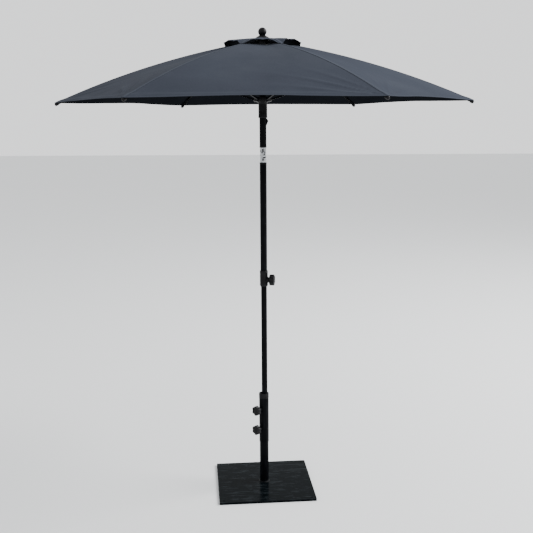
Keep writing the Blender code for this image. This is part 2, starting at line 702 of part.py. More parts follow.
def make_finial():
    skirt = CROWN_HEIGHT + HUB_ABOVE + GAP + CLOTH + 2 * GAP
    flare = FINIAL_SKIRT_RADIUS - FINIAL_NECK_RADIUS
    ball_start = math.degrees(math.asin(-math.sqrt(1 - (FINIAL_NECK_RADIUS / FINIAL_BALL_RADIUS) ** 2)))
    ball = arc_points((0, FINIAL_BALL_HEIGHT), FINIAL_BALL_RADIUS, 90, ball_start, 9)
    outline = [(0, ball[0][1])] + ball[1:] + [
        (FINIAL_NECK_RADIUS + 0.16 * flare, skirt + FINIAL_SKIRT_HEIGHT),
        (FINIAL_NECK_RADIUS + 0.40 * flare, skirt + 0.72 * FINIAL_SKIRT_HEIGHT),
        (FINIAL_NECK_RADIUS + 0.72 * flare, skirt + 0.44 * FINIAL_SKIRT_HEIGHT),
        (FINIAL_SKIRT_RADIUS - CHAMFER, skirt + FINIAL_RIM + CHAMFER),
        (FINIAL_SKIRT_RADIUS, skirt + FINIAL_RIM),
        (FINIAL_SKIRT_RADIUS, skirt),
        (FINIAL_STEM_RADIUS, skirt),
        (FINIAL_STEM_RADIUS, skirt - FINIAL_STEM_LENGTH),
        (0, skirt - FINIAL_STEM_LENGTH),
    ]
    turned("finial", outline, BLACK_PLASTIC, top_frame, closed=False, steps=24)


# Runner
def make_runner():
    top = RUNNER_HEIGHT + RUNNER_FLANGE_HALF
    under = RUNNER_HEIGHT - RUNNER_FLANGE_HALF
    foot_radius = RUNNER_RADIUS + RUNNER_FOOT_FLARE
    outline = [
        (RUNNER_FLANGE_RADIUS - 2 * CHAMFER, top),
        (RUNNER_FLANGE_RADIUS, top - 2 * CHAMFER),
        (RUNNER_FLANGE_RADIUS, under + 3 * CHAMFER),
        (RUNNER_FLANGE_RADIUS - 4 * CHAMFER, under),
        (RUNNER_RADIUS + RUNNER_FILLET, under - RUNNER_FILLET / 2),
        (RUNNER_RADIUS, under - 2 * RUNNER_FILLET),
        (RUNNER_RADIUS, RUNNER_BOTTOM + 2 * RUNNER_FOOT),
        (foot_radius, RUNNER_BOTTOM + RUNNER_FOOT),
        (foot_radius, RUNNER_BOTTOM + RUNNER_FOOT / 2),
        (RUNNER_RADIUS - CHAMFER, RUNNER_BOTTOM),
        (RUNNER_BORE, RUNNER_BOTTOM),
        (RUNNER_BORE, top),
    ]
    runner = turned("runner", outline, BLACK_PLASTIC, runner_frame, steps=24)
    wire_room = RING_WIRE + GAP
    cut(runner, make_ring("runner_channel_cutter", RUNNER_RING_RADIUS, RUNNER_HEIGHT, wire_room, None, None))
    slot = STRUT_WIDTH / 2 + SLOT_CLEARANCE
    slot_start = RUNNER_RING_RADIUS - RING_WIRE - 2 * SLOT_CLEARANCE
    slot_bottom, slot_top = under - REACH, top + REACH
    for step in range(RIB_COUNT):
        pocket = block(
            f"runner_pocket_cutter_{step + 1}", (slot_start, -slot, slot_bottom),
            (RUNNER_FLANGE_RADIUS + REACH, slot, slot_top), basis=around(step),
        )
        cut(runner, pocket)
    half = RUNNER_KEYWAY / 2
    low = (0, -half, RUNNER_BOTTOM - REACH)
    cut(runner, block("runner_keyway_cutter", low, (RUNNER_KEYWAY_END, half, slot_top)))
    make_ring("runner_ring", RUNNER_RING_RADIUS, RUNNER_HEIGHT, RING_WIRE, BRIGHT_STEEL, runner_frame)


# Ribs, tips and struts: made once along +X, then turned round the pole
def make_rib_shape():
    """A curved channel section, open below, with an eye at the crown and a bracket for the strut."""
    steps = 12
    arcs = [RIB_LENGTH * i / steps for i in range(steps + 1)]
    half = RIB_DEPTH / 2
    slope = math.degrees(RIB_START_SLOPE)
    eye = arc_points((CROWN_RADIUS, CROWN_HEIGHT), half, 270 - slope, 90 - slope, 5)
    upper = [rib_point(arc, half) for arc in arcs[1:]]
    lower = [rib_point(arc, -half) for arc in reversed(arcs[1:])]
    rib = sheet_cut("rib_1", eye + upper + lower, RIB_WIDTH, BLACK_STEEL, None)
    hollow = [RIB_SOLID_END] + arcs[1:-1] + [RIB_LENGTH - RIB_SOLID_END]
    channel = [rib_point(arc, half - SHEET_STEEL) for arc in hollow]
    channel += [rib_point(arc, -RIB_DEPTH) for arc in reversed(hollow)]
    channel_cutter = sheet_cut("rib_channel_cutter", channel, RIB_WIDTH - 2 * SHEET_STEEL)
    ear = rib_slope(STRUT_JOINT_ARC)
    first = rib_point(STRUT_JOINT_ARC - BRACKET_HALF_LENGTH, -SHEET_STEEL)
    last = rib_point(STRUT_JOINT_ARC + BRACKET_HALF_LENGTH, -SHEET_STEEL)
    low_first = rib_point(STRUT_JOINT_ARC - BRACKET_HALF_LENGTH, -half - SHEET_STEEL)
    low_last = rib_point(STRUT_JOINT_ARC + BRACKET_HALF_LENGTH, -half - SHEET_STEEL)
    round_end = arc_points(STRUT_JOINT, EAR_RADIUS, -math.degrees(ear), -180 - math.degrees(ear), 5)
    slot_half = STRUT_WIDTH / 2 + SLOT_CLEARANCE
    bracket = sheet_cut(
        "rib_bracket_cutter", [first, last, low_last] + round_end + [low_first], 2 * (slot_half + EAR_WALL)
    )
    roof_above = STRUT_JOINT_DROP - STRUT_EYE_RADIUS - SLOT_CLEARANCE
    slot_first, slot_last = STRUT_JOINT_ARC - REACH, STRUT_JOINT_ARC + REACH
    ear_slot = [rib_point(slot_first, -roof_above), rib_point(slot_last, -roof_above)]
    ear_slot += [rib_point(slot_last, -REACH), rib_point(slot_first, -REACH)]
    ear_slot_cutter = sheet_cut("ear_slot_cutter", ear_slot, 2 * slot_half)
    joint = Vector((STRUT_JOINT[0], 0, STRUT_JOINT[1]))
    across = Vector((0, REACH, 0))
    rivet_hole = rod("rivet_hole_cutter", RIVET_RADIUS + GAP, joint - across, joint + across, sides=10)
    pivot = Vector((CROWN_RADIUS, 0, CROWN_HEIGHT))
    eye_hole = rod("eye_hole_cutter", RING_WIRE + 3 * GAP, pivot - across, pivot + across, sides=10)
    # The exact solver leaves the bracket's holes open on a section as long and thin as this.
    cut(bracket, ear_slot_cutter, rivet_hole, solver="MANIFOLD")
    cut(rib, channel_cutter, eye_hole, solver="MANIFOLD")
    join(rib, bracket, solver="MANIFOLD")
    return rib


def make_strut_shape():
    """A channel section, open above, with a rivet at its outer end and a round inner end."""
    (joint_r, joint_z), (seat_r, seat_z) = STRUT_JOINT, STRUT_SEAT
    tilt = math.degrees(math.atan2(joint_z - seat_z, joint_r - seat_r))
    outer = arc_points(STRUT_JOINT, STRUT_EYE_RADIUS, tilt - 90, tilt + 90, 5)
    inner = arc_points(STRUT_SEAT, STRUT_EYE_RADIUS, tilt + 90, tilt + 270, 5)
    strut = sheet_cut("strut_1", outer + inner, STRUT_WIDTH, BLACK_STEEL, None)
    along = Vector((joint_r - seat_r, joint_z - seat_z))
    length = along.length
    along.normalize()
    across = Vector((-along.y, along.x))
    start = Vector(STRUT_SEAT)
    inside, outside = start + along * STRUT_SOLID_INNER, start + along * (length - STRUT_SOLID_OUTER)
    floor, over = across * (SHEET_STEEL - STRUT_DEPTH / 2), across * STRUT_DEPTH
    channel = [inside + floor, outside + floor, outside + over, inside + over]
    channel_cutter = sheet_cut("strut_channel_cutter", channel, STRUT_WIDTH - 2 * SHEET_STEEL)
    cut(strut, channel_cutter, solver="MANIFOLD")
    joint = Vector((joint_r, 0, joint_z))
    head_start = Vector((0, STRUT_WIDTH / 2 + SLOT_CLEARANCE + EAR_WALL + GAP, 0))
    head_end = head_start + Vector((0, RIVET_HEAD, 0))
    rivet = rod("rivet_cutter", RIVET_RADIUS, joint - head_end, joint + head_end, sides=10)
    join(strut, rivet, solver="MANIFOLD")
    for number, side in enumerate((1, -1), 1):
        near, far = joint + side * head_start, joint + side * head_end
        head = rod(f"rivet_head_cutter_{number}", RIVET_HEAD_RADIUS, near, far, sides=10)
        join(strut, head, solver="MANIFOLD")
    return strut


def applied(shape):
    """The mesh with its modifiers applied, for copies that share it."""
    graph = bpy.context.evaluated_depsgraph_get()
    mesh = bpy.data.meshes.new_from_object(shape.evaluated_get(graph))
    bpy.data.objects.remove(shape, do_unlink=True)
    return mesh


def tip_mesh():
    """A plastic cap over the end of a rib, turned round the rib's own direction."""
    outer = TIP_BORE + TIP_WALL
    outline = [
        (0, TIP_END),
        (outer * 0.45, TIP_END * 0.93),
        (outer * 0.8, TIP_END * 0.6),
        (outer, 0),
        (outer, -TIP_OVERLAP),
        (TIP_BORE, -TIP_OVERLAP),
        (TIP_BORE, GAP),
        (0, GAP),
    ]
    end_r, end_z = rib_point(RIB_LENGTH)
    place = Matrix.Translation((end_r, 0, end_z)) @ Matrix.Rotation(math.pi / 2 + RIB_END_SLOPE, 4, "Y")
    shape = turned("tip_shape", outline, None, None, closed=False, steps=12)
    mesh = applied(shape)
    mesh.transform(place)
    return mesh


# Cover: each piece of cloth runs from the middle of one gore over a rib to the middle of the next
def across_gore(share):
    """0 on the rib, 1 in the middle of the gore, level at both."""
    return 0.5 - 0.5 * math.cos(math.pi * share)


def between_ribs(radius, height, share):
    """The point this share of the way from the rib to the middle of the chord to the next rib."""
    along = radius * (1 - abs(share) * (1 - math.cos(TURN_STEP)) / 2)
    return along, radius * share * math.sin(TURN_STEP) / 2, height


def cover_point(u, share):
    """A point of the cover, with u from 0 at the vent to 1 at the hem."""
    start = arc_at_radius(COVER_INNER_RADIUS)
    end = COVER_OUTER_ARC - HEM_RISE * across_gore(share)
    radius, height = rib_point(start + (end - start) * u, COVER_OFFSET)
    sag = COVER_SAG * across_gore(share) * math.sin(math.pi * u)
    return between_ribs(radius, height - sag, share)


def vent_point(u, share):
    """A point of the vent cap, with u from 0 under the finial to 1 at the hem, which arches up."""
    corner_arc = arc_at_radius(VENT_CORNER_RADIUS)
    cloth_top = COVER_OFFSET + CLOTH / 2
    corner = rib_point(corner_arc, cloth_top + 2 * GAP + CLOTH / 2)
    inner = (VENT_INNER_RADIUS, CROWN_HEIGHT + HUB_ABOVE + GAP + CLOTH / 2)
    outer_radius = corner[0] - VENT_HEM_RISE * across_gore(share)
    radius = inner[0] + (outer_radius - inner[0]) * u
    height = inner[1] + (corner[1] - inner[1]) * u + VENT_LIFT * across_gore(share) * u**1.5
    return between_ribs(radius, height, share)


def cloth_mesh(name, point, rows, columns):
    """A grid over this surface, given the thickness of the cloth. It stops a gap short of mid-gore."""
    shape = bmesh.new()
    bmesh.ops.create_grid(shape, x_segments=columns, y_segments=rows, size=1)
    for vertex in shape.verts:
        share, u = vertex.co.x, (1 - vertex.co.y) / 2
        x, y, z = point(u, share)
        vertex.co = (x, y - GAP * share / math.cos(TURN_STEP / 2), z)
    mesh = mesh_from(name, shape)
    helper = bpy.data.objects.new(name, mesh)
    CUTTERS.objects.link(helper)
    solidify = helper.modifiers.new("cloth", "SOLIDIFY")
    solidify.thickness = CLOTH
    solidify.offset = 0
    return applied(helper)


def make_ribs_and_cover():
    rib_mesh = applied(make_rib_shape())
    strut_mesh = applied(make_strut_shape())
    tip = tip_mesh()
    cover = cloth_mesh("cover", cover_point, rows=9, columns=6)
    vent = cloth_mesh("vent", vent_point, rows=3, columns=6)
    pivot = Vector((CROWN_RADIUS, 0, CROWN_HEIGHT))
    joint = Vector((STRUT_JOINT[0], 0, STRUT_JOINT[1]))
    for step in range(RIB_COUNT):
        turn = around(step)
        number = step + 1
        angle = step * TURN_STEP
        rib_frame = joint_frame(f"rib_{number}_hinge", top_frame, turn @ pivot, angle)
        strut_frame = joint_frame(f"strut_{number}_hinge", rib_frame, turn @ joint, angle)
        new_piece(f"rib_{number}", rib_mesh, BLACK_STEEL, rib_frame, turn)
        new_piece(f"rib_tip_{number}", tip, BLACK_PLASTIC, rib_frame, turn)
        new_piece(f"canopy_{number}", cover, CLOTH_GREY, rib_frame, turn)
        new_piece(f"vent_flap_{number}", vent, CLOTH_GREY, rib_frame, turn)
        new_piece(f"strut_{number}", strut_mesh, BLACK_STEEL, strut_frame, turn)


make_base_plate()
make_base_tube()
make_lower_pole()
make_upper_pole()
make_tilt_joint()
make_top_tube()
make_catch()
make_crown()
make_finial()
make_runner()
make_ribs_and_cover()
NUT_FACE = SLEEVE_RADIUS + GAP + NUT_LENGTH
for number, height in enumerate(BASE_KNOB_HEIGHTS, 1):
    make_clamp_screw(
        f"base_knob_{number}", f"base_stud_{number}", base, BASE_CENTRE + Vector((0, 0, height)),
        BASE_KNOB_BEARING, LOWER_POLE_RADIUS + GAP - BASE_SHIFT, NUT_FACE + GAP,
    )
make_clamp_screw(
    "collar_knob", "collar_stud", upper_frame, Vector((0, 0, COLLAR_KNOB_HEIGHT)), COLLAR_KNOB_BEARING,
    LOWER_POLE_RADIUS + GAP, COLLAR_RADIUS + COLLAR_BOSS_LENGTH + GAP,
)
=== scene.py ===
import json
import math

import bpy
from mathutils import Matrix, Vector, noise

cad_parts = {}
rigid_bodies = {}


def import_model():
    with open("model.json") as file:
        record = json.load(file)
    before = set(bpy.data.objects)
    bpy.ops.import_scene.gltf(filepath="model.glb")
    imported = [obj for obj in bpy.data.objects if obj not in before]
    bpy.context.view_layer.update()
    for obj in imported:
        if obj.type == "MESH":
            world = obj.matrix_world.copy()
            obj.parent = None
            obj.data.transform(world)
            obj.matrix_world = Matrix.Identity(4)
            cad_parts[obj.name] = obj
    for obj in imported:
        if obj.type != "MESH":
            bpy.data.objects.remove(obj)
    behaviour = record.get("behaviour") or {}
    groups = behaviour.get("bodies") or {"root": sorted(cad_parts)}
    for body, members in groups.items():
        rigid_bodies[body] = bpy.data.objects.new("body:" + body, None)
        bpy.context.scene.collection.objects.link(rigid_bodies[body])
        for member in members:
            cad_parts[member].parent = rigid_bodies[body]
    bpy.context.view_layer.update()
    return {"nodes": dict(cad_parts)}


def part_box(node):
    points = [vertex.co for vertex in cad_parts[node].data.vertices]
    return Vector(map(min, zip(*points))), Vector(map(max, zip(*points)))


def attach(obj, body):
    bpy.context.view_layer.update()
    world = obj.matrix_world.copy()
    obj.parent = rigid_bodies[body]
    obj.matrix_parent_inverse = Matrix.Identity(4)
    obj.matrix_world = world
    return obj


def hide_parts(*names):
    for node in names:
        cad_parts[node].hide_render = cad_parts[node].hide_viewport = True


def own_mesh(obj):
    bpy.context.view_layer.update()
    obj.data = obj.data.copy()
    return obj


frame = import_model()
nodes = frame["nodes"]


# Floor, light and camera. A wide pale floor meets a pale sky, one large soft lamp stands high on the
# right, and the camera stands at eye level and looks a little down.
FLOOR_HALF = 40.0
FLOOR_COLOUR = (0.68, 0.69, 0.695)
SKY = (0.93, 0.94, 0.95)
SKY_STRENGTH = 1.5
LAMP_PLACE = Vector((6.5, 1.0, 5.8))
LAMP_AIM = Vector((0, 0, 1.9))
LAMP_SIZE = 5.0
LAMP_POWER = 1400
EYE = Vector((0.131, -3.907, 1.774))
EYE_DOWN = math.radians(9.94)
EYE_TURN = math.radians(1.675)
EYE_ROLL = math.radians(0.33)
EYE_LENS = 56.37


def nothing_selected():
    bpy.ops.object.select_all(action="DESELECT")


def finish_of(name, colour, roughness, metallic=0.0, gloss=0.5):
    """A new material: its node tree and its shader are what the finishes below add to."""
    material = bpy.data.materials.new(name)
    material.use_nodes = True
    shader = material.node_tree.nodes["Principled BSDF"]
    shader.inputs["Base Color"].default_value = (*colour, 1)
    shader.inputs["Roughness"].default_value = roughness
    shader.inputs["Metallic"].default_value = metallic
    shader.inputs["Specular IOR Level"].default_value = gloss
    return material, material.node_tree, shader


nothing_selected()
bpy.ops.mesh.primitive_plane_add(size=2 * FLOOR_HALF, location=(0, 0, -0.0005))
floor = bpy.context.object
floor.name = "floor"
floor.data.materials.append(finish_of("pale_floor", FLOOR_COLOUR, 0.6)[0])

sky = bpy.data.worlds.new("pale_sky")
sky.use_nodes = True
sky.node_tree.nodes["Background"].inputs["Color"].default_value = (*SKY, 1)
sky.node_tree.nodes["Background"].inputs["Strength"].default_value = SKY_STRENGTH
bpy.context.scene.world = sky

nothing_selected()
bpy.ops.object.light_add(type="AREA", location=LAMP_PLACE)
lamp = bpy.context.object
lamp.name = "high_lamp"
lamp.rotation_mode = "QUATERNION"
lamp.rotation_quaternion = (LAMP_AIM - LAMP_PLACE).to_track_quat("-Z", "Y")
lamp.data.shape = "DISK"
lamp.data.size = LAMP_SIZE
lamp.data.energy = LAMP_POWER

nothing_selected()
bpy.ops.object.camera_add(location=EYE, rotation=(math.pi / 2 - EYE_DOWN, EYE_ROLL, EYE_TURN))
camera = bpy.context.object
camera.data.lens = EYE_LENS
bpy.context.scene.camera = camera


# Base plate: a square of 10 mm steel with rounded corners and a small hole in each, powder-coated
# dark grey. It has been carried about, so the coat is scuffed and shows fine scratches.
PLATE_SIDE = 0.46
PLATE_CORNER = 0.006
PLATE_TURN = math.radians(6.7)
PLATE_HOLE = 0.004
PLATE_HOLE_INSET = 0.021
plate_low, plate_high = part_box("base_plate")
base_centre = (plate_low + plate_high) / 2
PLATE_TOP = plate_high.z


def pattern(tree, scale, stretch=(1, 1, 1), turn=0.0, kind="Noise", **settings):
    """A pattern node on Object coordinates, stretched and turned about Z."""
    place = tree.nodes.new("ShaderNodeTexCoord")
    spread = tree.nodes.new("ShaderNodeMapping")
    spread.inputs["Scale"].default_value = stretch
    spread.inputs["Rotation"].default_value = (0, 0, turn)
    made = tree.nodes.new("ShaderNodeTex" + kind)
    made.inputs["Scale"].default_value = scale
    for key, value in settings.items():
        made.inputs[key].default_value = value
    tree.links.new(place.outputs["Object"], spread.inputs["Vector"])
    tree.links.new(spread.outputs["Vector"], made.inputs["Vector"])
    return made.outputs[0]


def spread_to(tree, source, low, high, to_low=0.0, to_high=1.0):
    """Takes the part of a value between low and high to a new range."""
    made = tree.nodes.new("ShaderNodeMapRange")
    for key, value in zip(("From Min", "From Max", "To Min", "To Max"), (low, high, to_low, to_high)):
        made.inputs[key].default_value = value
    tree.links.new(source, made.inputs["Value"])
    return made.outputs["Result"]


def combined(tree, kind, first, second):
    """MULTIPLY, ADD, MAXIMUM and the like of two values, each a socket or a number."""
    made = tree.nodes.new("ShaderNodeMath")
    made.operation = kind
    for slot, value in zip(made.inputs, (first, second)):
        if isinstance(value, (int, float)):
            slot.default_value = value
        else:
            tree.links.new(value, slot)
    return made.outputs["Value"]


def roughened_by(tree, shader, amount, low, high, smoothest, roughest):
    """The roughness runs from smoothest to roughest as this amount goes from low to high."""
    tree.links.new(spread_to(tree, amount, low, high, smoothest, roughest), shader.inputs["Roughness"])


def coloured_by(tree, shader, amount, low, high):
    """The shader's colour runs from low to high with this amount."""
    mix = tree.nodes.new("ShaderNodeMix")
    mix.data_type = "RGBA"
    mix.inputs["A"].default_value = (*low, 1)
    mix.inputs["B"].default_value = (*high, 1)
    tree.links.new(amount, mix.inputs["Factor"])
    tree.links.new(mix.outputs["Result"], shader.inputs["Base Color"])


def raised_by(tree, shader, height, distance, strength=1.0):
    """The surface stands proud by distance where the height is 1."""
    bump = tree.nodes.new("ShaderNodeBump")
    bump.inputs["Distance"].default_value = distance
    bump.inputs["Strength"].default_value = strength
    tree.links.new(height, bump.inputs["Height"])
    tree.links.new(bump.outputs["Normal"], shader.inputs["Normal"])


def plate_coat():
    material, tree, shader = finish_of("plate_coat", (0.002, 0.003, 0.004), 0.2, gloss=0.012)
    cloud = pattern(tree, 9, Detail=5, Roughness=0.6)
    rubbed = pattern(tree, 20, (1, 2.4, 1), 0.5, Detail=8, Roughness=0.74)
    scuffs = combined(tree, "MULTIPLY", spread_to(tree, rubbed, 0.53, 0.68), 0.45)
    lines = 0.0
    for turn, length in ((0.35, 0.05), (-0.62, 0.035), (1.25, 0.06), (2.1, 0.045)):
        line = pattern(tree, 120, (length, 1, 1), turn, Detail=2, Roughness=0.5)
        lines = combined(tree, "MAXIMUM", spread_to(tree, line, 0.68, 0.76), lines)
    worn = combined(tree, "MAXIMUM", combined(tree, "MULTIPLY", lines, 0.9), scuffs)
    coloured_by(tree, shader, worn, (0.0016, 0.0026, 0.0033), (0.026, 0.032, 0.036))
    roughened_by(tree, shader, cloud, 0.35, 0.68, 0.10, 0.24)
    peel = pattern(tree, 900, Detail=2)
    raised_by(tree, shader, combined(tree, "SUBTRACT", peel, lines), 0.00018, 0.4)
    return material


def only(piece):
    """Selects this piece alone and makes it the active one."""
    nothing_selected()
    piece.select_set(True)
    bpy.context.view_layer.objects.active = piece


def edit(piece):
    """Goes into edit mode on this piece alone."""
    only(piece)
    bpy.ops.object.mode_set(mode="EDIT")


def leave_edit():
    bpy.ops.object.mode_set(mode="OBJECT")


def choose(piece, kind, test):
    """In edit mode, selects the vertices, edges or faces whose corner points pass the test."""
    bpy.ops.mesh.select_mode(type=kind)
    bpy.ops.mesh.select_all(action="DESELECT")
    bpy.ops.object.mode_set(mode="OBJECT")
    mesh = piece.data
    if kind == "VERT":
        for vertex in mesh.vertices:
            vertex.select = test([vertex.co])
    else:
        for item in mesh.edges if kind == "EDGE" else mesh.polygons:
            item.select = test([mesh.vertices[corner].co for corner in item.vertices])
    bpy.ops.object.mode_set(mode="EDIT")


def placed(piece, place):
    """Lays a turn and a shift into the piece's mesh."""
    piece.data.transform(piece.matrix_basis)
    piece.matrix_basis = Matrix.Identity(4)
    piece.data.transform(place)
    return piece


def applied(piece, kind, **settings):
    """Adds a modifier with these settings and applies it."""
    only(piece)
    made = piece.modifiers.new(kind.lower(), kind)
    for key, value in settings.items():
        setattr(made, key, value)
    bpy.ops.object.modifier_apply(modifier=made.name)
    return piece


def carved(piece, *tools, kind="DIFFERENCE"):
    """Cuts the tools out of the piece, or joins them to it, and deletes them."""
    for tool in tools:
        applied(piece, "BOOLEAN", operation=kind, solver="EXACT", object=tool)
        bpy.data.objects.remove(tool, do_unlink=True)
    return piece


def rounded(piece, width, segments=2, angle=38):
    """Rounds the sharp edges, and shades what is left smooth."""
    applied(piece, "BEVEL", width=width, segments=segments, limit_method="ANGLE",
            angle_limit=math.radians(angle), harden_normals=False)
    return smooth(piece)


def smooth(piece, angle=38):
    only(piece)
    bpy.ops.object.shade_smooth_by_angle(angle=math.radians(angle))
    return piece


def fitted(piece, material, slot, body, *stands_for):
    """Gives a finished piece its finish, the body it rides on and the CAD nodes it stands for."""
    piece.data.materials.clear()
    piece.data.materials.append(material)
    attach(piece, body)
    if stands_for:
        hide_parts(*stands_for)
    return piece


def round_bar(name, radius, start, end, sides=48):
    """A round bar between two points."""
    start, end = Vector(start), Vector(end)
    nothing_selected()
    bpy.ops.mesh.primitive_cylinder_add(vertices=sides, radius=radius, depth=(end - start).length)
    bar = bpy.context.object
    bar.name = name
    turn = (end - start).to_track_quat("Z", "X").to_matrix().to_4x4()
    return placed(bar, Matrix.Translation((start + end) / 2) @ turn)


def block(name, low, high):
    """A box between two corners."""
    low, high = Vector(low), Vector(high)
    nothing_selected()
    bpy.ops.mesh.primitive_cube_add(size=1)
    box = bpy.context.object
    box.name = name
    return placed(box, Matrix.Translation((low + high) / 2) @ Matrix.Diagonal((*(high - low), 1)))


half = PLATE_SIDE / 2
plate = block("plate", (-half, -half, 0), (half, half, PLATE_TOP))
edit(plate)
choose(plate, "EDGE", lambda ends: abs(ends[0].z - ends[1].z) > PLATE_TOP / 2)
bpy.ops.mesh.bevel(offset=PLATE_CORNER, segments=6)
leave_edit()
plate_place = Matrix.Translation((base_centre.x, base_centre.y, 0)) @ Matrix.Rotation(PLATE_TURN, 4, "Z")
placed(plate, plate_place)
inset = half - PLATE_HOLE_INSET
drills = []
for number, (x, y) in enumerate(((inset, inset), (-inset, inset), (-inset, -inset), (inset, -inset)), 1):
    middle = plate_place @ Vector((x, y, 0))
    below, above = middle - Vector((0, 0, 0.02)), middle + Vector((0, 0, 0.03))
    drills.append(round_bar(f"drill_{number}", PLATE_HOLE, below, above))
carved(plate, *drills)
rounded(plate, 0.0009, 3)
applied(plate, "WEIGHTED_NORMAL", keep_sharp=True)
PLATE_COAT = plate_coat()
fitted(plate, PLATE_COAT, "plate_coat", "root", "base_plate")


# Base tube: a steel tube welded upright to the middle of the plate, powder-coated black, with the
# ripples of the weld bead round its foot. The clamp screws pass through two holes in its wall.
TUBE_RADIUS = 0.0215
TUBE_WALL = 0.002
SCREW_RADIUS = 0.004
KNOB_HEIGHTS = [(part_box(f"base_knob_{n}")[0][2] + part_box(f"base_knob_{n}")[1][2]) / 2 for n in (1, 2)]
KNOB_BEARING = math.radians(227)
WELD_LEG = 0.0055
WELD_RIPPLES = 46
CLEAR = 0.0003
MERGE = 0.00001
knob_axis = Vector((math.cos(KNOB_BEARING), math.sin(KNOB_BEARING), 0))
centre = Vector((base_centre.x, base_centre.y, 0))


def drawn(name, points):
    """Draws one point out along these points, and stays in edit mode with the line selected."""
    nothing_selected()
    bpy.ops.mesh.primitive_plane_add(size=0.01)
    piece = bpy.context.object
    piece.name = name
    bpy.ops.object.mode_set(mode="EDIT")
    bpy.ops.mesh.select_mode(type="VERT")
    bpy.ops.mesh.select_all(action="SELECT")
    bpy.ops.mesh.merge(type="CENTER")
    bpy.ops.transform.translate(value=points[0])
    for last, point in zip(points, points[1:]):
        bpy.ops.mesh.extrude_vertices_move(TRANSFORM_OT_translate={"value": point - last})
    bpy.ops.mesh.select_all(action="SELECT")
    bpy.ops.mesh.remove_doubles(threshold=MERGE)
    return piece


def turned(name, outline, closed=True, sides=64, place=None):
    """A turned piece: its outline of (radius, height) is drawn out and spun round the Z axis."""
    points = [Vector((radius, 0, height)) for radius, height in outline]
    piece = drawn(name, points + points[:1] if closed else points)
    bpy.ops.mesh.spin(steps=sides, angle=math.tau, center=(0, 0, 0), axis=(0, 0, 1))
    bpy.ops.mesh.select_all(action="SELECT")
    bpy.ops.mesh.remove_doubles(threshold=MERGE)
    bpy.ops.mesh.normals_make_consistent(inside=False)
    leave_edit()
    return placed(piece, place or Matrix.Identity(4))


def tube(name, outer, inner, bottom, top, place=None, sides=64):
    return turned(name, [(outer, bottom), (outer, top), (inner, top), (inner, bottom)], True, sides, place)


def powder_coat():
    material, tree, shader = finish_of("black_powder_coat", (0.002, 0.0023, 0.003), 0.36, gloss=0.035)
    cloud = pattern(tree, 14, (1, 1, 0.25), Detail=4, Roughness=0.6)
    roughened_by(tree, shader, cloud, 0.3, 0.7, 0.28, 0.44)
    dust = pattern(tree, 70, (1, 1, 0.2), Detail=6, Roughness=0.7)
    coloured_by(tree, shader, spread_to(tree, dust, 0.52, 0.8), (0.002, 0.0023, 0.003), (0.008, 0.009, 0.012))
    raised_by(tree, shader, pattern(tree, 1100, Detail=1), 0.00012, 0.5)
    return material


POWDER_COAT = powder_coat()
SCREW_HOLE = SCREW_RADIUS + CLEAR
base_place = Matrix.Translation(centre)


def screw_drills():
    """Drills for both clamp screws, from the tube's axis outwards."""
    starts = [centre + Vector((0, 0, height)) for height in KNOB_HEIGHTS]
    return [round_bar("screw_drill", SCREW_HOLE, start, start + knob_axis * 0.06, 32) for start in starts]


tube_low, tube_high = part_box("base_tube")
base_tube = tube("socket_tube", TUBE_RADIUS, TUBE_RADIUS - TUBE_WALL, tube_low.z, tube_high.z, base_place)
carved(base_tube, *screw_drills())
fitted(rounded(base_tube, 0.0004), POWDER_COAT, "powder_coat_black", "root", "base_tube")

weld_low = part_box("base_weld")[0]
weld_root = TUBE_RADIUS + 0.0002
weld_outline = [(weld_root, weld_low.z)]
for step in range(7):
    angle = math.radians(15 * step)
    leg = WELD_LEG * (1 - 0.28 * math.sin(2 * angle))
    weld_outline.append((weld_root + leg * math.cos(angle), weld_low.z + leg * math.sin(angle)))
weld = turned("weld_bead", weld_outline, True, WELD_RIPPLES * 5)
for vertex in weld.data.vertices:
    reach = math.hypot(vertex.co.x, vertex.co.y) - TUBE_RADIUS
    lift = vertex.co.z - weld_low.z
    if reach < 0.0004 or lift < 0.0004:
        continue
    bearing = math.atan2(vertex.co.y, vertex.co.x)
    wave = bearing * WELD_RIPPLES / math.tau + 0.25 * reach / WELD_LEG + 0.06 * noise.noise(vertex.co * 90)
    wave %= 1
    swell = 0.0004 * (math.sin(math.pi * wave) - 0.6) + 0.0003 * noise.noise(vertex.co * 140)
    outward = Vector((math.cos(bearing), math.sin(bearing), 0))
    vertex.co += outward * swell * 0.7 + Vector((0, 0, swell * 0.7))
placed(weld, base_place)
fitted(smooth(weld, 60), POWDER_COAT, "powder_coat_black", "root", "base_weld")


# Sleeve, cap and nuts: a thicker sleeve stiffens the upper half of the base tube where the screws
# press, a moulded black cap closes its top, and the nuts are welded to the sleeve on the left.
SLEEVE_WALL = 0.0015
NUT_RADIUS = 0.0095
NUT_LENGTH = 0.0115
CAP_WALL = 0.0022
CAP_LIP = 0.003


def moulded_black():
    material, tree, shader = finish_of("moulded_black", (0.004, 0.004, 0.0045), 0.42, gloss=0.10)
    grain = pattern(tree, 1500, kind="Voronoi")
    cloud = pattern(tree, 40, Detail=4, Roughness=0.6)
    roughened_by(tree, shader, cloud, 0.35, 0.68, 0.34, 0.52)
    lighter = spread_to(tree, cloud, 0.45, 0.8)
    coloured_by(tree, shader, lighter, (0.004, 0.004, 0.0045), (0.012, 0.012, 0.014))
    raised_by(tree, shader, grain, 0.00008, 0.5)
    return material


MOULDED_BLACK = moulded_black()
sleeve_low, sleeve_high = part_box("base_sleeve")
sleeve_inner = TUBE_RADIUS + CLEAR
sleeve_outer = sleeve_inner + SLEEVE_WALL
sleeve = tube("socket_sleeve", sleeve_outer, sleeve_inner, sleeve_low.z, sleeve_high.z, base_place)
carved(sleeve, *screw_drills())
fitted(rounded(sleeve, 0.0005), POWDER_COAT, "powder_coat_black", "root", "base_sleeve")

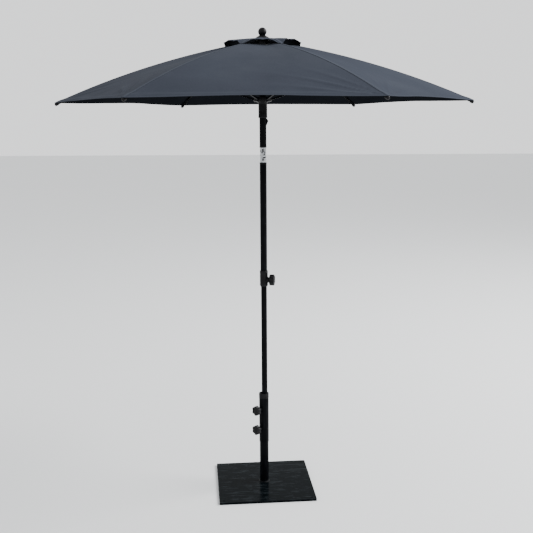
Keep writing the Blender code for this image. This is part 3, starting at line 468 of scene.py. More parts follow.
cap_low, cap_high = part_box("base_cap")
cap_outer = sleeve_inner + CAP_WALL
cap_rim = cap_high.z - CAP_LIP
cap = turned("socket_cap", [
    (cap_outer, cap_low.z), (cap_outer + 0.0003, cap_low.z + 0.002), (cap_outer, cap_low.z + 0.004),
    (cap_outer, cap_high.z), (TUBE_RADIUS - TUBE_WALL, cap_high.z), (TUBE_RADIUS - TUBE_WALL, cap_rim),
    (sleeve_inner, cap_rim), (sleeve_inner, cap_low.z),
], place=base_place)
fitted(rounded(cap, 0.0009, 3), MOULDED_BLACK, "black_plastic", "root", "base_cap")


def zinc_plate():
    material, tree, shader = finish_of("zinc_plate", (0.52, 0.53, 0.54), 0.3, 1.0)
    cloud = pattern(tree, 120, Detail=4, Roughness=0.6)
    roughened_by(tree, shader, cloud, 0.35, 0.68, 0.24, 0.42)
    coloured_by(tree, shader, cloud, (0.42, 0.43, 0.44), (0.62, 0.62, 0.61))
    return material


def facing_out(piece):
    """Turns all faces of a closed piece outwards."""
    edit(piece)
    bpy.ops.mesh.select_all(action="SELECT")
    bpy.ops.mesh.normals_make_consistent(inside=False)
    leave_edit()


def ring(name, radius, height, wire, steps=96, sides=12):
    """A round wire bent to a ring about the Z axis."""
    nothing_selected()
    bpy.ops.mesh.primitive_torus_add(
        major_segments=steps, minor_segments=sides, major_radius=radius, minor_radius=wire)
    made = bpy.context.object
    made.name = name
    return placed(made, Matrix.Translation((0, 0, height)))


ZINC_PLATE = zinc_plate()
for number, height in enumerate(KNOB_HEIGHTS, 1):
    start = centre + Vector((0, 0, height)) + knob_axis * (sleeve_outer - 0.001)
    end = start + knob_axis * (NUT_LENGTH + 0.0013)
    nut = round_bar(f"weld_nut_{number}", NUT_RADIUS, start, end)
    carved(nut, round_bar("nut_drill", SCREW_HOLE, start - knob_axis * 0.01, end + knob_axis * 0.01, 32))
    rounded(nut, 0.0006)
    bead = ring(f"nut_weld_{number}", NUT_RADIUS + 0.0006, 0, 0.0014, 72, 10)
    for vertex in bead.data.vertices:
        across = vertex.co.x
        sink = math.sqrt(sleeve_outer**2 - min(abs(across), 0.02) ** 2) - sleeve_outer
        bearing = math.atan2(vertex.co.y, vertex.co.x)
        ripple = 1 + 0.10 * math.sin(16 * bearing) + 0.12 * noise.noise(vertex.co * 400)
        vertex.co.z = vertex.co.z * ripple + sink
    lay = Matrix((
        (-knob_axis.y, 0, knob_axis.x, 0), (knob_axis.x, 0, knob_axis.y, 0), (0, 1, 0, 0), (0, 0, 0, 1),
    ))
    root = centre + Vector((0, 0, height)) + knob_axis * (sleeve_outer + 0.0002)
    placed(bead, Matrix.Translation(root) @ lay)
    facing_out(bead)
    fitted(smooth(bead, 60), POWDER_COAT, "powder_coat_black", "root")
    fitted(nut, POWDER_COAT, "powder_coat_black", "root", f"clamp_nut_{number}")


# Clamp screws of the base: zinc-plated studs with a rolled thread, each moulded into a black star
# knob of six lobes. They stand one above the other on the left and press on the lower pole.
KNOB_LOBES = 6
KNOB_VALLEY = 0.0044
THREAD_PITCH = 0.00125
POLE_RADIUS = 0.014
SCREW_TIP = POLE_RADIUS + CLEAR
SOCKET_END = 0.0117
KNOB_OUTLINE = [
    (0, 0.0120), (0.0043, 0.0120), (0.0043, 0), (0.0080, 0), (0.0085, 0.0006), (0.0086, 0.0036),
    (0.0100, 0.0048), (0.0192, 0.0050), (0.0224, 0.0058), (0.0237, 0.0076), (0.0240, 0.0104),
    (0.0240, 0.0202), (0.0235, 0.0230), (0.0221, 0.0250), (0.0198, 0.0259), (0.0164, 0.0259),
    (0.0146, 0.0250), (0.0134, 0.0238), (0.0088, 0.0236), (0.0076, 0.0243), (0.0068, 0.0256),
    (0.0056, 0.0259), (0, 0.0260),
]


def threaded(name, length, place):
    """A stud of this length along Z: a core with a helical ridge round it."""
    core = SCREW_RADIUS - 0.0006
    outline = [(0, 0), (core - 0.0005, 0), (core, 0.0006), (core, length), (0, length)]
    stud = turned(name, outline, False, 32)
    nothing_selected()
    bpy.ops.mesh.primitive_circle_add(
        vertices=4, radius=0.00055, location=(core, 0, 0.001), rotation=(math.pi / 2, 0, 0))
    ridge = bpy.context.object
    bpy.ops.object.transform_apply(location=True, rotation=True, scale=True)
    applied(ridge, "SCREW", angle=math.tau, screw_offset=THREAD_PITCH, steps=20, render_steps=20,
            iterations=int((length - 0.004) / THREAD_PITCH), use_merge_vertices=False)
    edit(ridge)
    bpy.ops.mesh.select_all(action="SELECT")
    bpy.ops.mesh.fill_holes(sides=0)
    leave_edit()
    facing_out(ridge)
    only(stud)
    ridge.select_set(True)
    bpy.ops.object.join()
    return placed(smooth(stud, 30), place)


def star_knob(name, outline, place):
    """A turned knob whose rim is drawn in between its lobes."""
    knob = turned(name, outline, False, 120)
    across_lobes = max(radius for radius, height in outline)
    for vertex in knob.data.vertices:
        radius = math.hypot(vertex.co.x, vertex.co.y)
        lobed = min(max((radius / across_lobes - 0.42) / 0.4, 0), 1)
        angle = math.atan2(vertex.co.y, vertex.co.x)
        valley = (0.5 - 0.5 * math.cos(KNOB_LOBES * angle)) ** 1.5
        if radius > 0 and vertex.co.z > 0.0042:
            vertex.co.xy *= 1 - KNOB_VALLEY * valley * lobed**2 / radius
    return placed(smooth(knob, 32), place)


def lying(middle, bearing):
    """The place that lays an upright piece down from the middle outwards, on this bearing."""
    turn = Matrix.Rotation(bearing, 4, "Z") @ Matrix.Rotation(math.pi / 2, 4, "Y")
    return Matrix.Translation(middle) @ turn


def clamp_screw(knob_name, stud_name, middle, bearing, tip, seat, screw_body, knob_body, outline):
    """A stud from tip outwards from the middle, with its knob's hub starting at seat."""
    lay = lying(middle, bearing)
    at_tip, at_seat = (lay @ Matrix.Translation((0, 0, along)) for along in (tip, seat))
    stud = threaded("threaded_" + stud_name, seat + SOCKET_END - tip, at_tip)
    fitted(stud, ZINC_PLATE, "plated_steel", screw_body, stud_name)
    knob = star_knob("star_" + knob_name, outline, at_seat)
    fitted(knob, MOULDED_BLACK, "black_plastic", knob_body, knob_name)


base_shift = centre.length  # The base tube's axis stands this far from the pole's, on the knobs' side.
knob_seat = sleeve_outer + NUT_LENGTH + 0.0006
for number, height in enumerate(KNOB_HEIGHTS, 1):
    clamp_screw(
        f"base_knob_{number}", f"base_stud_{number}", centre + Vector((0, 0, height)), KNOB_BEARING,
        SCREW_TIP - base_shift, knob_seat, f"base_screw_{number}", f"base_knob_{number}", KNOB_OUTLINE,
    )


# Lower pole: a 28 mm steel tube in the base, powder-coated black, with a moulded plug in its foot.
# It stands against the side of the base tube that the screws push it to.
LOWER_WALL = 0.0013
pole_low, pole_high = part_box("lower_pole")


def refinished(node, material):
    """Gives a CAD piece that keeps its shape a better finish."""
    nodes[node].data.materials.clear()
    nodes[node].data.materials.append(material)


lower = tube("lower_tube", POLE_RADIUS, POLE_RADIUS - LOWER_WALL, pole_low.z, pole_high.z)
fitted(rounded(lower, 0.0004), POWDER_COAT, "powder_coat_black", "lower_pole", "lower_pole")
refinished("pole_plug", MOULDED_BLACK)


# Upper pole and height collar: a 32 mm tube slides over the lower pole. A moulded collar closes its
# lower end, and a third star knob on the collar's boss clamps the two tubes at the chosen height.
UPPER_RADIUS = 0.016
UPPER_BORE = 0.0144
COLLAR_RADIUS = 0.0195
COLLAR_KNOB_HEIGHT = 1.025
COLLAR_BEARING = math.radians(-8)
COLLAR_BOSS_END = 0.0255
COLLAR_KNOB_OUTLINE = [
    (0, 0.0120), (0.0043, 0.0120), (0.0043, 0), (0.0118, 0), (0.0150, 0.0006), (0.0222, 0.0018),
    (0.0252, 0.0030), (0.0264, 0.0052),
]
COLLAR_KNOB_OUTLINE += [(1.11 * radius, height) for radius, height in KNOB_OUTLINE[10:]]
upper_low, upper_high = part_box("upper_tube")
upper = tube("upper_pole_tube", UPPER_RADIUS, UPPER_BORE, upper_low.z, upper_high.z)
fitted(rounded(upper, 0.0004), POWDER_COAT, "powder_coat_black", "upper_pole", "upper_tube")

collar_low, collar_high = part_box("height_collar")
bottom, top = collar_low.z, collar_high.z
collar = turned("clamp_collar", [
    (POLE_RADIUS + CLEAR, bottom), (0.0162, bottom), (0.0174, bottom + 0.0012), (0.0190, bottom + 0.0050),
    (COLLAR_RADIUS, bottom + 0.0075), (COLLAR_RADIUS, bottom + 0.0110), (0.0190, bottom + 0.0122),
    (0.0190, top - 0.0100), (COLLAR_RADIUS, top - 0.0088), (COLLAR_RADIUS, top - 0.0030),
    (0.0188, top - 0.0008), (0.0180, top), (UPPER_RADIUS + CLEAR, top),
    (UPPER_RADIUS + CLEAR, upper_low.z - CLEAR),
    (POLE_RADIUS + CLEAR, upper_low.z - CLEAR),
])
collar_axis = Vector((math.cos(COLLAR_BEARING), math.sin(COLLAR_BEARING), 0))
collar_middle = Vector((0, 0, COLLAR_KNOB_HEIGHT))
boss = turned("collar_boss", [
    (0, 0.0150), (0.0150, 0.0150), (0.0142, 0.0200), (0.0128, 0.0232), (0.0118, COLLAR_BOSS_END),
    (0, COLLAR_BOSS_END),
], False, 64, lying(collar_middle, COLLAR_BEARING))
drill = round_bar("collar_drill", SCREW_HOLE, collar_middle, collar_middle + collar_axis * 0.06, 32)
carved(collar, boss, kind="UNION")
carved(collar, drill)
fitted(rounded(collar, 0.0006), MOULDED_BLACK, "black_plastic", "upper_pole", "height_collar")
clamp_screw(
    "collar_knob", "collar_stud", collar_middle, COLLAR_BEARING, SCREW_TIP, COLLAR_BOSS_END + CLEAR,
    "collar_screw", "collar_knob", COLLAR_KNOB_OUTLINE,
)


# Tilt joint: a bright cast fork and tongue on a steel pin, between two black bushes that fill the
# ends of the tubes. The tongue holds the button that frees its lock.
TILT_HEIGHT = 1.615
TILT_TURN = math.radians(25)
KNUCKLE = 0.014
KNUCKLE_HALF = 0.034
SHANK = 0.010
SHANK_LENGTH = 0.036
TONGUE_HALF = 0.007
PIN = 0.003
GROOVE_HALF = 0.0034
GROOVE_FLOOR = -0.0112
LOWER_GROOVE = (-0.0250, -0.0155)
UPPER_GROOVE = (0.0150, 0.0290)
tilt_place = Matrix.Translation((0, 0, TILT_HEIGHT)) @ Matrix.Rotation(TILT_TURN, 4, "Z")


def cast_zinc():
    material, tree, shader = finish_of("cast_zinc", (0.40, 0.41, 0.42), 0.3, 1.0)
    cloud = pattern(tree, 150, Detail=5, Roughness=0.65)
    roughened_by(tree, shader, cloud, 0.3, 0.7, 0.22, 0.42)
    coloured_by(tree, shader, spread_to(tree, cloud, 0.35, 0.75), (0.46, 0.47, 0.48), (0.30, 0.31, 0.33))
    raised_by(tree, shader, pattern(tree, 1400, Detail=2), 0.00008, 0.5)
    return material


def groove(low, high):
    """A cutter, in the casting's own frame, for the upright groove that faces the front."""
    made = block("groove", (-GROOVE_HALF, -0.03, low), (GROOVE_HALF, GROOVE_FLOOR, high))
    return placed(made, Matrix.Rotation(-TILT_TURN, 4, "Z"))


def groove_shade_strip(name, low, high, body):
    """A black strip laid on the groove's floor: painted shade, so that the groove reads dark."""
    shade_strip = block(name, (-GROOVE_HALF + 0.0002, GROOVE_FLOOR - 0.0012, low + 0.0003),
                  (GROOVE_HALF - 0.0002, GROOVE_FLOOR - 0.0001, high - 0.0003))
    placed(rounded(shade_strip, 0.0003), Matrix.Translation((0, 0, TILT_HEIGHT)))
    fitted(shade_strip, MOULDED_BLACK, "black_plastic", body)


CAST_ZINC = cast_zinc()
slot_half = TONGUE_HALF + CLEAR
tongue_radius = KNUCKLE - CLEAR
fork = turned("cast_fork", [
    (0, KNUCKLE), (KNUCKLE, KNUCKLE), (KNUCKLE, -KNUCKLE_HALF), (SHANK, -KNUCKLE_HALF),
    (SHANK, -KNUCKLE_HALF - SHANK_LENGTH), (0, -KNUCKLE_HALF - SHANK_LENGTH),
], False)
over = block("fork_over", (-0.03, -0.03, 0), (0.03, 0.03, 0.03))
carved(over, round_bar("fork_round", KNUCKLE, (-0.04, 0, 0), (0.04, 0, 0), 96))
slot = block("fork_slot", (-slot_half, -0.03, -tongue_radius - 0.0006), (slot_half, 0.03, 0.03))
carved(fork, over, slot, round_bar("fork_pin_hole", PIN + CLEAR, (-0.03, 0, 0), (0.03, 0, 0), 32))
carved(fork, groove(*LOWER_GROOVE))
placed(rounded(fork, 0.0007), tilt_place)
fitted(fork, CAST_ZINC, "zinc_casting", "upper_pole", "tilt_fork")
# The lower groove's black strip is painted shade.
groove_shade_strip("lower_groove_shade_strip", *LOWER_GROOVE, "upper_pole")

tongue = turned("cast_tongue", [
    (0, KNUCKLE_HALF + SHANK_LENGTH), (SHANK, KNUCKLE_HALF + SHANK_LENGTH), (SHANK, KNUCKLE_HALF),
    (KNUCKLE, KNUCKLE_HALF), (KNUCKLE, -tongue_radius), (0, -tongue_radius),
], False)
shoulder = KNUCKLE + 0.0006
under = block("tongue_under", (-0.03, -0.03, -0.03), (0.03, 0.03, 0))
carved(under, round_bar("tongue_round", tongue_radius, (-0.04, 0, 0), (0.04, 0, 0), 96))
left = block("tongue_left", (-0.03, -0.03, -0.03), (-TONGUE_HALF, 0.03, shoulder))
right = block("tongue_right", (TONGUE_HALF, -0.03, -0.03), (0.03, 0.03, shoulder))
pocket = block("button_pocket", (-0.00505, -0.03, -0.00205), (0.00505, -0.0063, 0.00205))
pin_hole = round_bar("tongue_pin_hole", PIN + CLEAR, (-0.03, 0, 0), (0.03, 0, 0), 32)
carved(tongue, under, left, right, pocket, pin_hole, groove(*UPPER_GROOVE))
placed(rounded(tongue, 0.0006), tilt_place)
fitted(tongue, CAST_ZINC, "zinc_casting", "top", "tilt_tongue")
# The upper groove's black strip is painted shade.
groove_shade_strip("upper_groove_shade_strip", *UPPER_GROOVE, "top")

pin_end = KNUCKLE - 0.0006
pin = turned("tilt_pin_riveted", [
    (0, -pin_end), (0.0018, -pin_end + 0.0002), (PIN, -pin_end + 0.0009), (PIN, pin_end - 0.0009),
    (0.0018, pin_end - 0.0002), (0, pin_end),
], False, 32)
placed(smooth(pin, 50), tilt_place @ Matrix.Rotation(math.pi / 2, 4, "Y"))
fitted(pin, ZINC_PLATE, "plated_steel", "upper_pole", "tilt_pin")

button = block("tilt_lock_button", (-0.00475, -KNUCKLE - 0.0010, -0.00175), (0.00475, -0.0082, 0.00175))
placed(rounded(button, 0.0008, 3), tilt_place)
fitted(button, MOULDED_BLACK, "black_plastic", "tilt_button", "tilt_button")

for node, body, side in (("lower_ferrule", "upper_pole", -1), ("upper_ferrule", "top", 1)):
    start = KNUCKLE_HALF + CLEAR
    flange, spigot = start + 0.0075, start + 0.0315
    bush = turned("bush_" + node.split("_")[0], [(r, TILT_HEIGHT + side * z) for r, z in (
        (SHANK + CLEAR, start), (0.0166, start), (0.0166, flange), (0.0141, flange), (0.0141, spigot),
        (SHANK + CLEAR, spigot),
    )])
    fitted(rounded(bush, 0.0007, 3), MOULDED_BLACK, "black_plastic", body, node)


# Top tube and catch: the tube from the tilt joint to the crown, with a window for the spring catch.
# The catch is a flat steel tab that the open runner rests on.
CATCH_THICKNESS = 0.004
catch_low, catch_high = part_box("runner_catch")
top_low, top_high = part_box("top_tube")
top_pole = tube("top_pole_tube", UPPER_RADIUS, UPPER_BORE, top_low.z, top_high.z)
window_half = CATCH_THICKNESS / 2 + 0.0006
window_low = (0, -window_half, catch_low.z - 0.0006)
window_high = (0.03, window_half, catch_high.z + 0.0006)
carved(top_pole, block("catch_window", window_low, window_high))
fitted(rounded(top_pole, 0.0004), POWDER_COAT, "powder_coat_black", "top", "top_tube")


def flat_bar(name, outline, thickness):
    """A flat outline of (x, z) points, filled and given its thickness along Y."""
    bar = drawn(name, [Vector((x, -thickness / 2, z)) for x, z in outline + outline[:1]])
    bpy.ops.mesh.edge_face_add()
    bpy.ops.mesh.extrude_region_move(TRANSFORM_OT_translate={"value": (0, thickness, 0)})
    bpy.ops.mesh.select_all(action="SELECT")
    bpy.ops.mesh.normals_make_consistent(inside=False)
    leave_edit()
    return bar


back, bottom, top = catch_low.x, catch_low.z, catch_high.z
apex = Vector((catch_high.x, top - 0.0125))
catch = flat_bar("spring_catch", [
    (back, bottom + 0.002), (back + 0.002, bottom), (UPPER_RADIUS, bottom),
    (apex.x - 0.0004, apex.y - 0.0012), (apex.x, apex.y), (apex.x - 0.0004, apex.y + 0.0012),
    (UPPER_RADIUS + 0.0018, top), (back + 0.002, top), (back, top - 0.002),
], CATCH_THICKNESS)
fitted(rounded(catch, 0.0005), POWDER_COAT, "powder_coat_black", "catch", "runner_catch")


# Crown and finial: a moulded hub on top of the tube with six slots, a wire ring through the eyes of
# the ribs, and a turned black finial that screws in and clamps the vent cap.
RIBS = 6
CROWN_RING = 0.030
CROWN_HEIGHT = 2.122
HUB_RADIUS = 0.038
SLOT_HALF = 0.0046
WIRE_CHANNEL = 0.0015
hub_low, hub_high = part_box("crown_hub")
TURNS = [Matrix.Rotation(math.tau * step / RIBS, 4, "Z") for step in range(RIBS)]


hub = turned("crown_hub_moulding", [
    (0.0043, hub_high.z), (0.020, hub_high.z), (0.031, hub_high.z - 0.0017),
    (HUB_RADIUS, CROWN_HEIGHT + 0.0050), (HUB_RADIUS, hub_low.z), (UPPER_RADIUS + CLEAR, hub_low.z),
    (UPPER_RADIUS + CLEAR, top_high.z + CLEAR),
    (0.0043, top_high.z + CLEAR),
])
carved(hub, ring("hub_channel", CROWN_RING, CROWN_HEIGHT, WIRE_CHANNEL))
for turn in TURNS:
    slot_low = (0.0243, -SLOT_HALF, hub_low.z - 0.02)
    carved(hub, placed(block("hub_slot", slot_low, (0.06, SLOT_HALF, CROWN_HEIGHT + 0.0057)), turn))
fitted(rounded(hub, 0.0006), MOULDED_BLACK, "black_plastic", "top", "crown_hub")

finial_low, finial_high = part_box("finial")
BALL = 0.0195
ball_height = finial_high.z - BALL
skirt = finial_low.z + 0.018
finial_outline = [(0, finial_high.z)]
for step in range(1, 20):
    angle = math.radians(90 - 7.3 * step)
    finial_outline.append((BALL * math.cos(angle), ball_height + BALL * math.sin(angle)))
finial_outline += [
    (0.0130, skirt + 0.0222), (0.0146, skirt + 0.0206), (0.0180, skirt + 0.0184), (0.0220, skirt + 0.0163),
    (0.0262, skirt + 0.0140), (0.0300, skirt + 0.0114), (0.0326, skirt + 0.0086), (0.0338, skirt + 0.0058),
    (0.0341, skirt + 0.0030), (0.0341, skirt + 0.0004), (0.0337, skirt), (0.0040, skirt),
    (0.0040, finial_low.z + 0.0006), (0.0034, finial_low.z), (0, finial_low.z),
]
finial = turned("turned_finial", finial_outline, False, 96)
fitted(smooth(finial, 40), MOULDED_BLACK, "black_plastic", "top", "finial")


# Runner: a moulded sleeve that slides on the top tube. Its flange has a pocket for each strut and a
# wire ring that the struts turn on, and a keyway lets it pass over the catch.
runner_low, runner_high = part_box("runner")
RUNNER_HEIGHT = runner_high.z - 0.010
bottom, top = runner_low.z, runner_high.z
runner = turned("runner_moulding", [
    (0.0173, bottom), (0.0197, bottom), (0.0209, bottom + 0.0014), (0.0211, bottom + 0.0045),
    (0.0203, bottom + 0.0080), (0.0203, top - 0.034), (0.0206, top - 0.030), (0.0218, top - 0.0265),
    (0.0250, top - 0.0225), (0.0385, top - 0.0200), (0.0418, top - 0.0180), (0.0425, top - 0.0150),
    (0.0425, top), (0.0173, top),
])
carved(runner, ring("runner_channel", 0.034, RUNNER_HEIGHT, WIRE_CHANNEL))
for turn in TURNS:
    pocket = block("runner_pocket", (0.0316, -SLOT_HALF, bottom), (0.08, SLOT_HALF, top + 0.02))
    carved(runner, placed(pocket, turn))
carved(runner, block("runner_keyway", (0, -0.003, bottom - 0.02), (0.033, 0.003, top + 0.02)))
fitted(rounded(runner, 0.0006), MOULDED_BLACK, "black_plastic", "runner", "runner")
for node in ("crown_ring", "runner_ring"):
    refinished(node, ZINC_PLATE)


# Ribs and struts: six curved steel channels hang on the crown's wire, and a strut riveted under each
# one runs down to the runner. All are powder-coated black. A moulded cap closes the end of each rib.
RIB_LENGTH = 0.970
RIB_START = math.radians(9.0)
RIB_END = math.radians(23.5)
RIB_BEND = RIB_LENGTH / (RIB_END - RIB_START)
RIB_DEPTH = 0.009


def rib_point(arc, above=0.0):
    """Distance from the pole's axis and height, this far along a rib and above its middle line."""
    slope = RIB_START + arc / RIB_BEND
    out = CROWN_RING + RIB_BEND * (math.sin(slope) - math.sin(RIB_START)) + above * math.sin(slope)
    height = CROWN_HEIGHT - RIB_BEND * (math.cos(RIB_START) - math.cos(slope)) + above * math.cos(slope)
    return out, height


def copied(piece, name, turn):
    """The same piece elsewhere, with its own mesh."""
    twin = piece.copy()
    twin.data = piece.data.copy()
    twin.name = name
    bpy.context.scene.collection.objects.link(twin)
    twin.data.transform(turn)
    return twin


end_out, end_height = rib_point(RIB_LENGTH)
rib_end = Matrix.Translation((end_out, 0, end_height)) @ Matrix.Rotation(math.pi / 2 + RIB_END, 4, "Y")
tip_outline = [
    (0.0064, -0.0120), (0.0072, -0.0120), (0.0078, -0.0112), (0.0079, -0.0094), (0.0074, -0.0086),
    (0.0076, -0.0010), (0.0074, 0.0012), (0.0064, 0.0032), (0.0044, 0.0046), (0.0020, 0.0051),
    (0, 0.0052), (0, 0.0003), (0.0064, 0.0003),
]
tip_cap = turned("tip_cap_1", tip_outline, True, 40, rib_end)
smooth(tip_cap, 40)
for number, turn in enumerate(TURNS, 1):
    refinished(f"rib_{number}", POWDER_COAT)
    refinished(f"strut_{number}", POWDER_COAT)
    if number > 1:
        copied(tip_cap, f"tip_cap_{number}", turn)
for number in range(1, RIBS + 1):
    cap = bpy.data.objects[f"tip_cap_{number}"]
    fitted(cap, MOULDED_BLACK, "black_plastic", f"rib_{number}", f"rib_tip_{number}")


# Cover: six gores of plain-woven slate polyester, sewn together over the ribs with flat-felled seams
# and hemmed along the edge. It is pulled tight to the tips, so fine folds fan out of the corners.
CLOTH = 0.0007
COVER_ABOVE = RIB_DEPTH / 2 + 0.0019
COVER_INNER = 0.150
COVER_OUTER = 0.973
CORNER_LIFT = 0.0026
COVER_SAG = 0.010
COVER_HEM_RISE = 0.012
HEM = 0.018
HEM_STITCH = 0.0152
SEAM_HALF = 0.0065
SEAM_STITCH = 0.0045
STITCH_LENGTH = 0.0042
STITCH_WIDTH = 0.0009
THREAD = 0.0011
FOLD_HEIGHT = 0.0045
FAN_START = 0.4
TACK_IN = 0.045
TACK_UP = 0.030
TACK_RADIUS = 0.012
TACK_DEPTH = 0.009
COVER_FLAT = (0.49, 0.83)
COVER_KEPT = 0.085
SEAM_LIFT = 0.0011
SEAM_CLOTH_THICKNESS = 0.0006


def arc_at(radius):
    """How far along the rib it is this far from the pole's axis."""
    return (math.asin((radius - CROWN_RING) / RIB_BEND + math.sin(RIB_START)) - RIB_START) * RIB_BEND


def across(share):
    """0 on the rib, 1 in the middle of the gore, level at both."""
    return 0.5 - 0.5 * math.cos(math.pi * min(abs(share), 1))


def on_gore(radius, height, turn_number, share):
    """The point of this radius that lies share of the way from a rib to mid-gore, or back to the next rib."""
    side, share = (0, share) if share <= 1 else (1, share - 2)
    along = radius * (1 - abs(share) * (1 - math.cos(math.tau / RIBS)) / 2)
    place = Vector((along, radius * share * math.sin(math.tau / RIBS) / 2, height))
    return TURNS[(turn_number + side) % RIBS] @ place


def folds(gore, share, down, span, length):
    """How far the cloth stands out of its smooth shape: ridges that run out of the corners, a small
    dent where each corner is tacked to its rib, and slack."""
    lift = 0.0
    for corner, across_gore in enumerate((share / 2, 1 - share / 2)):
        along, up = across_gore * span, (1 - down) * length
        reach = math.hypot(along, up)
        fan = math.atan2(up, along + 0.001)
        wander = 1.5 * noise.noise(Vector((gore * 7.3 + corner, reach * 2.6, 2.0)))
        ridge = (0.5 + 0.5 * math.sin(fan * 15 + wander + FAN_START + 2.1 * gore + corner)) ** 3
        far = math.exp(-(((reach - 0.17) / 0.15) ** 2))
        lift += FOLD_HEIGHT * ridge * far * (0.55 + 0.45 * math.sin(4.4 * gore + 2 * corner))
        tack = math.hypot(along - TACK_IN, up - TACK_UP)
        lift -= TACK_DEPTH * math.exp(-((tack / TACK_RADIUS) ** 2))
    slack = noise.noise(Vector((gore * 5.1, share * 1.3, down * 2.4)))
    fine = noise.noise(Vector((gore * 3.7 + 11, share * 5.2, down * 9.0)))
    return math.sin(math.pi * share / 2) ** 0.8 * (lift + 0.0030 * slack + 0.0009 * fine)


def cover_point(gore, share, down):
    """A point of the cover: share runs from 0 on one rib to 2 on the next, down from the vent to the hem."""
    middle = across(share) if share <= 1 else across(2 - share)
    start = arc_at(COVER_INNER)
    end = COVER_OUTER - COVER_HEM_RISE * middle
    over_cap = CORNER_LIFT * across(max(0, min(1, (start + (end - start) * down - 0.915) / 0.03)))
    radius, height = rib_point(start + (end - start) * down, COVER_ABOVE + over_cap)
    height -= COVER_SAG * middle * math.sin(math.pi * (0.22 + 0.78 * down))
    return on_gore(radius, height + folds(gore, share, down, radius, end - start), gore, share)


def surface_normal(point_at, gore, share, down):
    """The outward direction of a cloth surface, from points a little to each side."""
    step = 0.004
    sideways = point_at(gore, min(share + step, 2), down) - point_at(gore, max(share - step, 0), down)
    downwards = point_at(gore, share, min(down + step, 1)) - point_at(gore, share, max(down - step, 0))
    return downwards.cross(sideways).normalized()


def woven_cloth(name, colour, faded_and_highlit, stitched="hem"):
    """Polyester cloth with its weave, uneven fading and stitches, laid out in metres by its UV map. On the
    hem material the very edge is painted light, a painted highlight where the hem catches the light.
    """
    material, tree, shader = finish_of(name, colour, 0.8, gloss=0.0)
    if stitched:
        shader.inputs["Sheen Weight"].default_value = 0.02
        shader.inputs["Sheen Roughness"].default_value = 0.4
    layout = tree.nodes.new("ShaderNodeUVMap")
    layout.uv_map = "cloth"
    parts = tree.nodes.new("ShaderNodeSeparateXYZ")
    tree.links.new(layout.outputs["UV"], parts.inputs["Vector"])
    aside, down = parts.outputs["X"], parts.outputs["Y"]
    threads = []
    for way in (aside, down):
        wave = combined(tree, "SINE", combined(tree, "MULTIPLY", way, math.tau / THREAD), 0)
        threads.append(combined(tree, "ABSOLUTE", wave, 0))
    relief = combined(tree, "MULTIPLY", combined(tree, "MULTIPLY", *threads), 0.3)
    cloud = pattern(tree, 3.2, Detail=5, Roughness=0.6)
    fine = pattern(tree, 160, Detail=3, Roughness=0.7)
    fade_and_hem_highlight = spread_to(tree, cloud, 0.35, 0.7, 0, 0.6)
    fade_and_hem_highlight = combined(tree, "ADD", fade_and_hem_highlight, spread_to(tree, fine, 0.3, 0.7, 0, 0.4))
    if stitched:
        run, row = (aside, combined(tree, "SUBTRACT", down, HEM_STITCH))
        if stitched == "seam":
            run, row = (down, combined(tree, "SUBTRACT", combined(tree, "ABSOLUTE", aside, 0), SEAM_STITCH))
        dash = combined(tree, "FRACT", combined(tree, "DIVIDE", run, STITCH_LENGTH), 0)
        in_row = combined(tree, "LESS_THAN", combined(tree, "ABSOLUTE", row, 0), STITCH_WIDTH / 2)
        stitch = combined(tree, "MULTIPLY", combined(tree, "GREATER_THAN", dash, 0.28), in_row)
        fade_and_hem_highlight = combined(tree, "SUBTRACT", fade_and_hem_highlight, combined(tree, "MULTIPLY", stitch, 0.6))
        relief = combined(tree, "ADD", relief, stitch)
    # Painted highlight: the outer edge of the hem is painted lighter, up to the lightest colour, where the
    # hem catches the light.
    if stitched == "hem":
        fade_and_hem_highlight = combined(tree, "MAXIMUM", fade_and_hem_highlight, spread_to(tree, down, 0.002, 0.008, 3.0, 0.0))
    coloured_by(tree, shader, fade_and_hem_highlight, colour, faded_and_highlit)
    raised_by(tree, shader, relief, 0.0003, 0.5)
    return material


SLATE_CLOTH = woven_cloth("slate_cloth", (0.0250, 0.0290, 0.0390), (0.034, 0.0385, 0.0500))
# The seam strips are the same cloth painted lighter: a painted highlight along the seam ridges.
SEAM_CLOTH_PAINTED_LIGHT = woven_cloth("slate_cloth_seams_painted_light", (0.033, 0.0375, 0.049), (0.047, 0.053, 0.067), "seam")
# The underside is the same cloth painted near black: painted shade for the shaded underside of the canopy.
CLOTH_UNDERSIDE_PAINTED_SHADE = woven_cloth(
    "slate_cloth_underside_painted_shade", (0.0045, 0.005, 0.0065), (0.0075, 0.0085, 0.0105), None)


def laid(piece, places, layout):
    """Moves a grid's points to their places, and lays the cloth's UV map out in metres."""
    mesh = piece.data
    for vertex, place in zip(mesh.vertices, places):
        vertex.co = place
    mesh.uv_layers[0].name = "cloth"
    uvs = mesh.uv_layers["cloth"].data
    for loop in mesh.loops:
        uvs[loop.index].uv = layout[loop.vertex_index]


